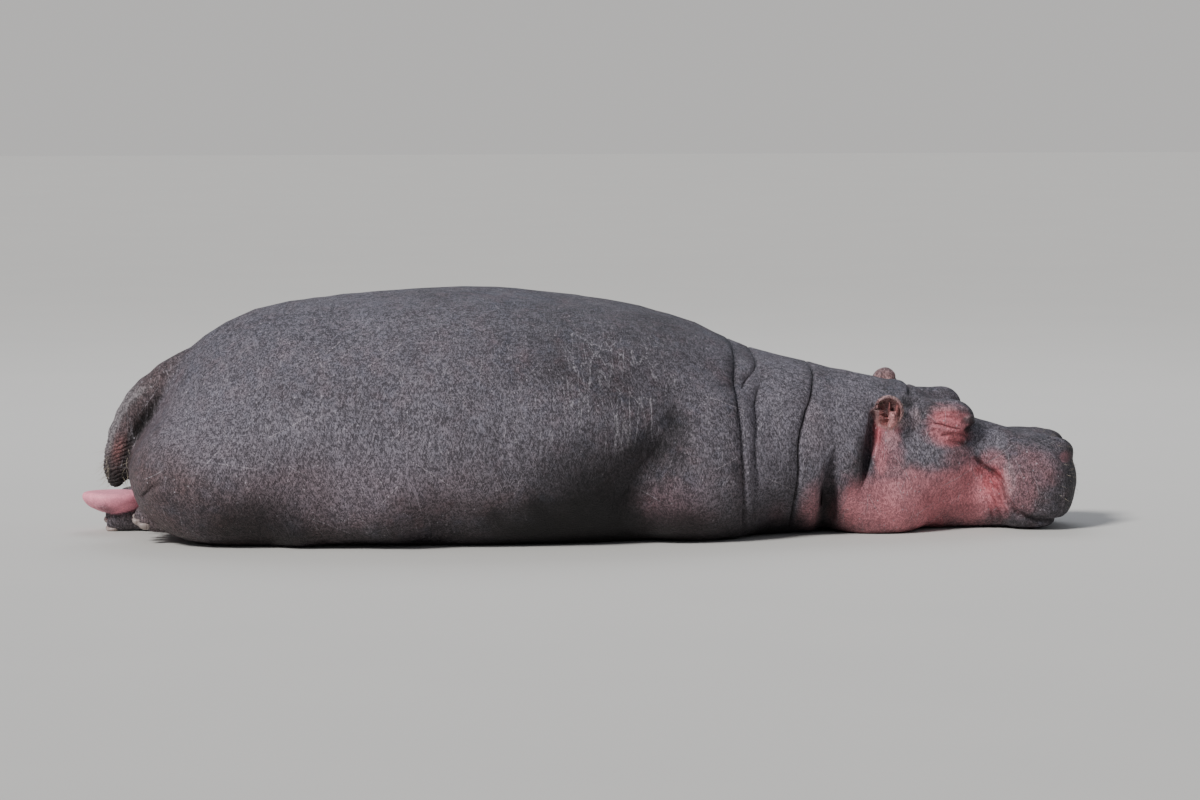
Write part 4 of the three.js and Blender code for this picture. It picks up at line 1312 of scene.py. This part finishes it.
class Finish:
    """A material with a Principled shader, and the means to build its tree."""

    def __init__(self, name, **constants):
        self.material = bpy.data.materials.new(name)
        self.material.use_nodes = True
        self.tree = self.material.node_tree
        self.shader = self.tree.nodes["Principled BSDF"]
        for socket, value in constants.items():
            self.shader.inputs[socket.replace("_", " ")].default_value = value

    def node(self, kind, settings=None, inputs=None, output=0):
        made = self.tree.nodes.new(kind)
        for name, value in (settings or {}).items():
            setattr(made, name, value)
        for name, value in (inputs or {}).items():
            self.feed(made.inputs[name], value)
        return Value(self, made.outputs[output])

    def feed(self, socket, value):
        if isinstance(value, Value):
            self.tree.links.new(value.socket, socket)
        else:
            socket.default_value = value

    def place(self, size=(1, 1, 1), turn=(0, 0, 0)):
        """The object's own coordinates along turned axes, each in units of that many metres."""
        here = self.node("ShaderNodeTexCoord", output="Object")
        settings = {"vector_type": "TEXTURE"}
        return self.node("ShaderNodeMapping", settings, {"Vector": here, "Rotation": turn, "Scale": size})

    def noise(self, size, detail=2.0, roughness=0.5, turn=(0, 0, 0)):
        """Soft noise from 0 to 1; size is its grain in metres, one number or one for each turned axis."""
        sizes = size if isinstance(size, tuple) else (size, size, size)
        inputs = {"Vector": self.place(sizes, turn), "Scale": 1.0, "Detail": detail, "Roughness": roughness}
        return self.node("ShaderNodeTexNoise", {}, inputs)

    def other(self, value, output):
        """Another output of the node that made a value."""
        return Value(self, value.socket.node.outputs[output])

    def parts(self, vector):
        """The three numbers of a vector or colour."""
        x = self.node("ShaderNodeSeparateXYZ", {}, {"Vector": vector})
        return x, self.other(x, "Y"), self.other(x, "Z")

    def eased(self, value, low, high):
        """0 below low and 1 above high; low may be the larger of the two."""
        inputs = {"Value": value, "From Min": low, "From Max": high}
        return self.node("ShaderNodeMapRange", {"interpolation_type": "SMOOTHSTEP"}, inputs)

    def painted(self, name):
        return self.node("ShaderNodeAttribute", {"attribute_name": name}, output="Fac")

    def mixed(self, share, first, second, way="MIX"):
        """Two colours mixed; a share of 0 gives the first."""
        settings = {"data_type": "RGBA", "blend_type": way}
        return self.node("ShaderNodeMix", settings, {0: share, 6: first, 7: second}, output=2)

    def bump(self, height, distance, strength=1.0, normal=None):
        inputs = {"Height": height, "Distance": distance, "Strength": strength}
        if normal:
            inputs["Normal"] = normal
        return self.node("ShaderNodeBump", {}, inputs)

    def finish(self, obj, **varying):
        for socket, value in varying.items():
            self.feed(self.shader.inputs[socket.replace("_", " ")], value)
        obj.data.materials.clear()
        obj.data.materials.append(self.material)


def rgb(red, green, blue):
    """A colour given as on a screen, 0 to 255, turned into the linear values that shaders use."""
    parts = [v / 255 for v in (red, green, blue)]
    return [v / 12.92 if v <= 0.04045 else ((v + 0.055) / 1.055) ** 2.4 for v in parts] + [1]


print("slate in linear values:", [round(v, 3) for v in rgb(104, 98, 104)])

# %% [markdown]
# ## Hide
# Bare hide is crossed by fine wrinkles in a net, and by thin, pale and nearly straight scratches from
# teeth and twigs. A wrinkle is where a stretched noise passes through its middle value; three sets of
# them, in different directions, cross each other like the lines of a palm. For the scratches, space
# is cut into cells about a point each, and a cell that is picked by chance has one short line
# through its point, a little bent and turned. Each set of scratches lies in the plane of the flanks,
# the back or the rump, and shows only where the skin faces that way. Long combed lines run along the
# flanks, and small painted glints, bright dots, are scattered over all but the sole. All of this is
# bump, colour or both.

# %% Lines in the hide
def wrinkles(finish, heading, across, along):
    """0 along fine lines and 1 beside them; sizes of the pattern in metres, heading in radians."""
    wave = finish.noise((across, across * 2, along), detail=2.0, roughness=0.6, turn=(0, heading, 0))
    return finish.eased(abs(wave - 0.5), 0.0, 0.07)


def scratches(finish, turn, apart, length, width):
    """1 on scattered straight scratches and 0 beside them; sizes in metres, turn in radians."""
    where = finish.place((apart, apart * 1.5, length), turn)
    colour = finish.node("ShaderNodeTexVoronoi", {}, {"Vector": where, "Scale": 1.0}, output="Color")
    off = finish.node("ShaderNodeVectorMath", {"operation": "SUBTRACT"},
                      {0: where, 1: finish.other(colour, "Position")})
    x, _, z = finish.parts(off)
    turned, chance, reach = finish.parts(colour)
    away = x * apart + z * length * ((turned - 0.5) * 0.6 + z * 0.12)
    line = finish.eased(abs(away), width, 0.0)
    ends = finish.eased(abs(z) + reach * 0.3, 0.55, 0.3)
    return line * ends * finish.eased(chance, 0.6, 0.9)


def long_lines(finish, heading, across, along):
    """1 along a family of long thin lines that run side by side; sizes in metres."""
    wave = finish.noise((across, across * 2, along), detail=1.0, turn=(0, heading, 0))
    return finish.eased(abs(wave - 0.5), 0.02, 0.0)


def dots(finish, apart, width):
    """1 on scattered small dots."""
    where = finish.place((apart, apart, apart))
    away = finish.node("ShaderNodeTexVoronoi", {}, {"Vector": where, "Scale": 1.0}, output="Distance")
    chance, _, _ = finish.parts(finish.other(away, "Color"))
    return finish.eased(away, width / apart, 0.0) * finish.eased(chance, 0.6, 0.9)


hide = Finish("hide", Specular_IOR_Level=0.32)
QUARTER = math.pi / 2
# how a pattern in x and z is turned to lie on the sides, on the back and on the rump
PLANES = {
    "side": lambda heading: (0, heading, 0),
    "upside": lambda heading: (QUARTER, 0, heading),
    "rear": lambda heading: (0, heading, QUARTER),
}
# plane, heading, spacing, length, width and strength of each set
SCRATCHES = [("side", 0.12, 0.05, 0.1, 0.0019, 0.6), ("side", -0.22, 0.055, 0.13, 0.0019, 0.6),
             ("side", 0.4, 0.065, 0.11, 0.0018, 0.5), ("side", -0.5, 0.075, 0.15, 0.0019, 0.6),
             ("side", 0.9, 0.15, 0.2, 0.002, 0.8), ("side", -1.2, 0.17, 0.28, 0.0021, 0.9),
             ("upside", 0.3, 0.08, 0.15, 0.0019, 0.6), ("upside", -1.0, 0.1, 0.2, 0.0019, 0.7),
             ("rear", 0.2, 0.07, 0.13, 0.0019, 0.6), ("rear", -0.7, 0.09, 0.18, 0.0019, 0.7)]
streaks = 0
for plane, heading, apart, length, width, strength in SCRATCHES:
    set_of_lines = scratches(hide, PLANES[plane](heading), apart, length, width)
    streaks = streaks + strength * set_of_lines * hide.painted(plane)
net = wrinkles(hide, 0.5, 0.008, 0.028) + wrinkles(hide, -0.6, 0.0085, 0.03)
net = (net + wrinkles(hide, 1.5, 0.011, 0.035)) * (1 / 3)
print("sets of scratches:", len(SCRATCHES))

# %% Patterns in the hide
WEAVE_MIDDLE, WEAVE_REACH = 1.92, 0.27  # the weave's middle value, and how far it is from dark to light
mottle = hide.noise(0.16, detail=5.0, roughness=0.62)
blotch = hide.noise(0.5, detail=3.0)
grain = hide.noise(0.0042, detail=3.0, roughness=0.7)
speck = hide.noise(0.008, detail=3.0, roughness=0.6)
upright = hide.noise((0.02, 0.02, 0.2), detail=3.0, roughness=0.6)
fibres = hide.noise((0.0038, 0.0038, 0.024), detail=2.0, roughness=0.6, turn=(0, 0.2, 0))
crossing = hide.noise((0.0042, 0.0042, 0.02), detail=2.0, roughness=0.6, turn=(0, -0.5, 0))
pebbles = hide.noise(0.016, detail=4.0, roughness=0.7)
warm = hide.noise(0.07, detail=4.0, roughness=0.65, turn=(1, 2, 0))
cool = hide.noise(0.055, detail=4.0, roughness=0.65, turn=(2, 0, 1))
weave = 0.45 * net + 0.35 * grain + 0.95 * fibres + 0.85 * crossing + 0.35 * speck + 0.45 * pebbles
weave = weave + 0.6 * (pebbles - 0.5) * hide.painted("upside")
along, _, level = hide.parts(hide.place())
# painted glints: small bright dots
painted_glints = dots(hide, 0.015, 0.0042)
combed = long_lines(hide, -0.14, 0.04, 0.6) + long_lines(hide, 0.02, 0.05, 0.7)
combed = combed * (0.25 + 0.75 * hide.eased(abs(along), 0.3, 0.1)) * hide.eased(level, 0.25, 0.4)
combed = combed * hide.eased(mottle, 0.38, 0.6) * hide.painted("side")
print("nodes in the hide's patterns:", len(hide.tree.nodes))

# %% [markdown]
# ## Colours of the hide
# Slate comes first, mottled and tinted, with a painted bluish sheen of the sky over the top. Each
# painted zone then lays its own colour over what is there; some zones are painted light, some painted
# highlights and some painted shade. Scratches and painted glints go on top, the painted shade of the
# dark parts and of the creases after them, and last the weave of the hide darkens or spares the whole,
# least of all on the smooth pink sole.

# %% Hide material
tone = hide.mixed(hide.eased(mottle, 0.3, 0.7), rgb(90, 84, 90), rgb(114, 107, 115))
# painted reflection: a bluish sheen of the sky, in blotches, on the upper body
sky_sheen_above = hide.eased(blotch, 0.4, 0.7) * hide.eased(level, 0.35, 0.8)
tone = hide.mixed(sky_sheen_above * 0.6, tone, rgb(100, 101, 115))
tone = hide.mixed(hide.eased(warm, 0.46, 0.68) * 0.45, tone, rgb(118, 94, 98))
tone = hide.mixed(hide.eased(cool, 0.5, 0.68) * 0.4, tone, rgb(96, 100, 116))

# painted value, pattern that breaks it up, how much of it shows, colour
COLOURS = [
    ("brown", hide.eased(mottle, 0.2, 0.7), 0.8, (106, 80, 78)),
    # painted light
    ("light", None, 0.75, (144, 138, 148)),
    ("pink", hide.eased(speck, -0.1, 0.5), 1, (216, 138, 145)),
    ("red", None, 0.75, (180, 82, 88)),
    # painted highlights of sheen
    ("pale", None, 0.7, (205, 178, 182)),
    ("tail", None, 0.6, (104, 84, 82)),
    ("tail_pink", hide.eased(mottle, 0.2, 0.6), 0.6, (172, 108, 104)),
    # painted shade, and the darker tip
    ("tail_dark", None, 0.8, (40, 33, 31)),
    # painted highlight
    ("tail_rim", None, 0.6, (158, 152, 154)),
    # painted shadow
    ("tail_gap", None, 0.92, (20, 16, 16)),
    # painted shade on the front of the muzzle
    ("muzzle", None, 0.6, (70, 66, 66)),
    ("foot", None, 0.4, (120, 108, 110)),
    ("ear", None, 0.75, (190, 144, 140)),
    ("ear_inside", None, 0.85, (146, 84, 80)),
    ("ear_lobe", None, 0.85, (232, 166, 164)),
    ("sole", None, 1, (250, 158, 176)),
]
for name, pattern, strength, colour in COLOURS:
    share = hide.painted(name)
    if pattern:
        share = share * pattern
    tone = hide.mixed(share * strength, tone, rgb(*colour))

streaked = hide.eased(streaks, 0.0, 1.0) * (0.75 - 0.7 * hide.painted("sole"))
tone = hide.mixed(streaked, tone, rgb(200, 190, 196))
tone = hide.mixed(combed * 0.8, tone, rgb(176, 170, 176))
tone = hide.mixed(painted_glints * (0.8 - 0.8 * hide.painted("sole")), tone, rgb(205, 198, 204))
# painted shade: dark below the body, in hollows and where parts meet, near black in the deepest hollows
tone = hide.mixed(hide.painted("dark") * 0.92, tone, rgb(32, 27, 29))
tone = hide.mixed(hide.painted("shade") * 0.9, tone, rgb(14, 10, 12))
# painted shade in creases and slots, dark red where the skin is pink
depths = hide.mixed(hide.painted("pink"), rgb(38, 29, 31), rgb(122, 50, 54))
tone = hide.mixed(hide.painted("deep") * 0.75, tone, depths)
texture = hide.eased(weave + 0.2 * upright, WEAVE_MIDDLE - WEAVE_REACH, WEAVE_MIDDLE + WEAVE_REACH)
rough = 0.9 - 0.7 * hide.painted("sole") - 0.3 * hide.painted("pink") + 0.1 * hide.painted("upside")
woven = hide.mixed(texture, rgb(116, 113, 116), rgb(255, 255, 255))
tone = hide.mixed(rough, tone, woven, "MULTIPLY")
relief_bump = hide.bump((weave + 0.3 * upright) * rough, 0.0045)
relief_bump = hide.bump(streaks, 0.0006, normal=relief_bump)
shine = 0.54 - 0.14 * hide.eased(mottle, 0.35, 0.7)
shine = shine - 0.06 * hide.painted("pink") + 0.12 * hide.painted("foot")
hide.finish(skin, Base_Color=tone, Roughness=shine, Normal=relief_bump)
print("nodes in the hide:", len(hide.tree.nodes))

# %% Floor
plaster = Finish("floor", Roughness=0.85)
plaster_tone = plaster.mixed(plaster.noise(0.8) * 0.4, rgb(203, 200, 194), rgb(192, 190, 186))
plaster.finish(floor, Base_Color=plaster_tone)
print("nodes in the floor:", len(plaster.tree.nodes))

# %% [markdown]
# ## Nails
# Each toe ends in a short, blunt nail, like a small hoof: domed on top, flat beneath, and ringed where
# it has grown. A nail is made from a round grid of corners, pressed into that shape, in the axes of
# its own toe. It takes the place of the plain solid there.

# %% Nails
NAIL_RADII = (.022, .022, .02)
NAIL_AHEAD, NAIL_RISE = 0.05, 0.012  # the nail's middle, ahead of the toe's and above it
NAIL_AROUND, NAIL_DOWN = 28, 18
NAIL_RINGS, RING_HEIGHT = 5, 0.03  # growth rings along a nail
NAIL_BELOW = 0.45  # thickness of the half below, as a share of the domed half
NAIL_CORNERS = 0.14  # how much its outline fills out towards a square
NAIL_NARROWS, NAIL_THINS = 0.14, 0.25  # how much its tip is narrower and flatter than its middle


def nail_mesh(name, matrix):
    """A nail pressed from a ball, moved to its toe, and kept above the floor."""
    bm = bmesh.new()
    bmesh.ops.create_uvsphere(bm, u_segments=NAIL_AROUND, v_segments=NAIL_DOWN, radius=1)
    for corner in bm.verts:
        x, y, z = corner.co
        ring = 1 + RING_HEIGHT * math.sin(x * NAIL_RINGS * math.pi) * max(z, 0)
        under = NAIL_BELOW if z < 0 else 1
        square = 1 + NAIL_CORNERS * (1 - abs(abs(x) - abs(y)))
        wide = y * square * (1 - NAIL_NARROWS * x)
        high = z * ring * under * (1 - NAIL_THINS * x)
        corner.co = Vector((x * square, wide, high))
        corner.co = Vector(a * b for a, b in zip(corner.co, NAIL_RADII))
    bm.transform(matrix)
    for corner in bm.verts:
        corner.co.z = max(corner.co.z, 0)
    mesh = bpy.data.meshes.new(name)
    bm.to_mesh(mesh)
    bm.free()
    mesh.shade_smooth()
    return mesh


nails = []
for foot in FEET:
    for number, across in enumerate(TOES_ACROSS, start=1):
        name = f"nail_{foot}_{number}"
        place = toe_frame(foot, across) @ Matrix.Translation((NAIL_AHEAD, 0, NAIL_RISE))
        nail = bpy.data.objects.new("horn_" + name, nail_mesh("horn_" + name, place))
        bpy.context.scene.collection.objects.link(nail)
        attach(nail, "root")
        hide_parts(name)
        nails.append(nail)

horn = Finish("horn", Specular_IOR_Level=0.45)
rings = horn.noise((0.005, 0.05, 0.05), detail=2.0)
worn = horn.noise(0.02, detail=4.0, roughness=0.7)
horn_tone = horn.mixed(horn.eased(rings, 0.3, 0.7), rgb(122, 108, 104), rgb(160, 146, 140))
horn_tone = horn.mixed(horn.eased(worn, 0.55, 0.8) * 0.6, horn_tone, rgb(74, 62, 58))
horn_bump = horn.bump(rings * 0.6 + worn * 0.4, 0.0012)
for nail in nails:
    horn.finish(nail, Base_Color=horn_tone, Roughness=0.36 + 0.2 * worn, Normal=horn_bump)
print("nails:", len(nails))

# %% [markdown]
# ## Bristles
# A hippopotamus is nearly bare. Stiff pale bristles stand on its muzzle, finer hair rims its ears, and
# the tip of its tail has a sparse fringe. Geometry Nodes scatter roots over a copy of the skin, where
# a painted value allows, and stand a curved, tapered bristle on each, leaning along the lie of the
# hair. Each bristle remembers where its root is on an unwrap of the skin: along and round the body.

# %% The bristle tree
def node_in(tree, kind, settings=None, inputs=None):
    """Adds a node to a geometry tree; an input is a value or another node's output."""
    made = tree.nodes.new(kind)
    for name, value in (settings or {}).items():
        setattr(made, name, value)
    for name, value in (inputs or {}).items():
        if isinstance(value, bpy.types.NodeSocket):
            tree.links.new(value, made.inputs[name])
        else:
            made.inputs[name].default_value = value
    return made


def times(tree, first, second):
    """The product of two numbers."""
    inputs = {0: first, 1: second}
    return node_in(tree, "ShaderNodeMath", {"operation": "MULTIPLY"}, inputs).outputs[0]


def added(tree, first, second):
    """The sum of two vectors."""
    inputs = {0: first, 1: second}
    return node_in(tree, "ShaderNodeVectorMath", {"operation": "ADD"}, inputs).outputs[0]


SHAFT_POINTS, SHAFT_SIDES = 6, 3
BEND = 0.25  # how far a bristle's tip leans over, as a share of its length
TIP = 0.15  # thickness of the tip, as a share of the root's
STRAY_WAY = (0.35, 0.35, 0.35)  # how much the way a bristle points is left to chance
SHORTEST = 0.45  # length of the shortest, as a share of the longest


def bristle_tree():
    tree = bpy.data.node_groups.new("bristles", "GeometryNodeTree")
    for name, kind in (("Skin", "NodeSocketGeometry"), ("Density", "NodeSocketFloat"),
                       ("Length", "NodeSocketFloat"), ("Thickness", "NodeSocketFloat"),
                       ("Lie", "NodeSocketVector"), ("Where", "NodeSocketString"),
                       ("Seed", "NodeSocketInt"), ("Finish", "NodeSocketMaterial")):
        tree.interface.new_socket(name, in_out="INPUT", socket_type=kind)
    tree.interface.new_socket("Bristles", in_out="OUTPUT", socket_type="NodeSocketGeometry")
    given = tree.nodes.new("NodeGroupInput").outputs

    shaft = node_in(tree, "GeometryNodeCurvePrimitiveLine", {}, {"Start": (0, 0, 0), "End": (0, 0, 1)})
    inputs = {"Curve": shaft.outputs[0], "Count": SHAFT_POINTS}
    shaft = node_in(tree, "GeometryNodeResampleCurve", {}, inputs)
    along = node_in(tree, "GeometryNodeSplineParameter").outputs["Factor"]
    bend = times(tree, times(tree, along, along), BEND)
    offset = node_in(tree, "ShaderNodeCombineXYZ", {}, {"X": bend})
    inputs = {"Geometry": shaft.outputs[0], "Offset": offset.outputs[0]}
    shaft = node_in(tree, "GeometryNodeSetPosition", {}, inputs)
    taper = node_in(tree, "ShaderNodeMapRange", {}, {"Value": along, "To Min": 1.0, "To Max": TIP})
    thickness = times(tree, taper.outputs[0], given["Thickness"])
    inputs = {"Resolution": SHAFT_SIDES, "Radius": 1.0}
    profile = node_in(tree, "GeometryNodeCurvePrimitiveCircle", {}, inputs)
    bristle = node_in(tree, "GeometryNodeCurveToMesh", {}, {
        "Curve": shaft.outputs[0], "Profile Curve": profile.outputs[0], "Scale": thickness,
        "Fill Caps": True})
    own_place = node_in(tree, "GeometryNodeInputPosition").outputs[0]
    settings = {"data_type": "FLOAT_VECTOR", "domain": "POINT"}
    bristle = node_in(tree, "GeometryNodeStoreNamedAttribute", settings, {
        "Geometry": bristle.outputs[0], "Name": "own_place", "Value": own_place})

    settings = {"data_type": "FLOAT"}
    allowed = node_in(tree, "GeometryNodeInputNamedAttribute", settings, {"Name": given["Where"]})
    density = times(tree, allowed.outputs[0], given["Density"])
    roots = node_in(tree, "GeometryNodeDistributePointsOnFaces", {"distribute_method": "RANDOM"}, {
        "Mesh": given["Skin"], "Density": density, "Seed": given["Seed"]})
    stray = node_in(tree, "FunctionNodeRandomValue", {"data_type": "FLOAT_VECTOR"}, {
        0: tuple(-reach for reach in STRAY_WAY), 1: STRAY_WAY, "Seed": given["Seed"]})
    way = added(tree, roots.outputs["Normal"], given["Lie"])
    way = added(tree, way, stray.outputs[0])
    turn = node_in(tree, "FunctionNodeAlignRotationToVector", {"axis": "Z"}, {"Vector": way})
    size = node_in(tree, "FunctionNodeRandomValue", {"data_type": "FLOAT"}, {
        2: SHORTEST, 3: 1.0, "Seed": given["Seed"]})
    size = times(tree, size.outputs[1], given["Length"])
    coat = node_in(tree, "GeometryNodeInstanceOnPoints", {}, {
        "Points": roots.outputs["Points"], "Instance": bristle.outputs[0],
        "Rotation": turn.outputs[0], "Scale": size})
    coat = node_in(tree, "GeometryNodeRealizeInstances", {}, {"Geometry": coat.outputs[0]})
    inputs = {"Geometry": coat.outputs[0], "Material": given["Finish"]}
    coat = node_in(tree, "GeometryNodeSetMaterial", {}, inputs)
    end = tree.nodes.new("NodeGroupOutput")
    tree.links.new(coat.outputs[0], end.inputs["Bristles"])
    return tree


bristles = bristle_tree()
identifiers = {item.name: item.identifier for item in bristles.interface.items_tree}
print("inputs of the bristle tree:", list(identifiers))

# %% Where bristles grow
EDGE = 0.02  # margin of the unwrap
PATCH = 0.003  # width of a bristle's patch on the unwrap
low, high = skin_corners.min(0), skin_corners.max(0)
own = rolled(skin_corners, -LEAN)
unwrap = np.zeros((len(skin_corners), 3))
unwrap[:, 0] = EDGE + (1 - 2 * EDGE) * (skin_x - low[0]) / (high[0] - low[0])
unwrap[:, 1] = 0.5 + (0.5 - EDGE) * np.arctan2(own[:, 1], own[:, 2] - LEAN_AXIS) / math.pi
host_mesh = skin.data.copy()
attribute = host_mesh.attributes.new("unwrap", "FLOAT_VECTOR", "POINT")
attribute.data.foreach_set("vector", unwrap.astype(np.float32).ravel())
host = bpy.data.objects.new("bristle_host", host_mesh)
bpy.context.scene.collection.objects.link(host)


def ear_rim(p):
    """1 along the rim of an ear, 0 elsewhere."""
    q = ear_axes(p)
    rim = np.abs(ear_inside(q) - 0.004) < 0.007
    return (rim & (np.abs(blob(q, EAR_RADII)) < 0.012)).astype(float)


# painted value: where bristles of that kind may grow
grows = {
    "on_muzzle": eased(skin_x, 1.5, 1.62) * eased(skin_z, 0.05, 0.09) * (0.35 + 0.65 * muzzle_front),
    "on_ears": ear_rim(skin_corners),
    "on_tail": on_tail * eased(np.abs(off_middle), 0.5, 0.8) * (1 - eased(skin_z, 0.24, 0.36)),
}
for where, values in grows.items():
    paint(host, where, values)
print("corners with bristles:", {where: int((values > 0).sum()) for where, values in grows.items()})

# %% Bristle coats
# name: painted value, roots for each square metre, length, thickness as a share of it, lie
COATS = {
    "muzzle_bristles": ("on_muzzle", 1500, 0.02, 0.018, (0.4, 0, -0.35)),
    "ear_hair": ("on_ears", 9000, 0.018, 0.012, (0.5, -0.2, -0.5)),
    "tail_fringe": ("on_tail", 8500, 0.05, 0.013, (0, 0, -0.8)),
}
straw = Finish("bristle", Roughness=0.5)
straw_tone = straw.mixed(straw.noise(0.025), rgb(150, 134, 112), rgb(214, 202, 182))
for seed, (name, (where, density, length, thickness, lie)) in enumerate(COATS.items(), start=1):
    coat = bpy.data.objects.new(name, host_mesh)
    bpy.context.scene.collection.objects.link(coat)
    grower = coat.modifiers.new("bristles", "NODES")
    grower.node_group = bristles
    values = {"Density": float(density), "Length": length, "Thickness": thickness, "Lie": lie,
              "Where": where, "Seed": seed, "Finish": straw.material}
    for title, value in values.items():
        grower[identifiers[title]] = value
    applied(coat)
    straw.finish(coat, Base_Color=straw_tone)
    mesh = coat.data
    root_place = read_vectors(mesh.attributes["unwrap"].data, "vector")
    own_place = read_vectors(mesh.attributes["own_place"].data, "vector")
    flat = root_place[:, :2] + PATCH * (own_place[:, [0, 2]] * (0.8, 1) + (0.1, 0))
    corner_of = np.empty(len(mesh.loops), np.int32)
    mesh.loops.foreach_get("vertex_index", corner_of)
    while mesh.uv_layers:
        mesh.uv_layers.remove(mesh.uv_layers[0])
    mesh.uv_layers.new(name="OFBake").data.foreach_set("uv", flat[corner_of].astype(np.float32).ravel())
    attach(coat, "root")
    print(name, "triangles:", sum(len(face.vertices) - 2 for face in mesh.polygons))
bpy.data.objects.remove(host)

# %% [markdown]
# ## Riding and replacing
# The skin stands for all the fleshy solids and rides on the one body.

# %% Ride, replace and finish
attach(skin, "root")
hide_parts(*[name for name in frame["nodes"] if not name.startswith("nail")])
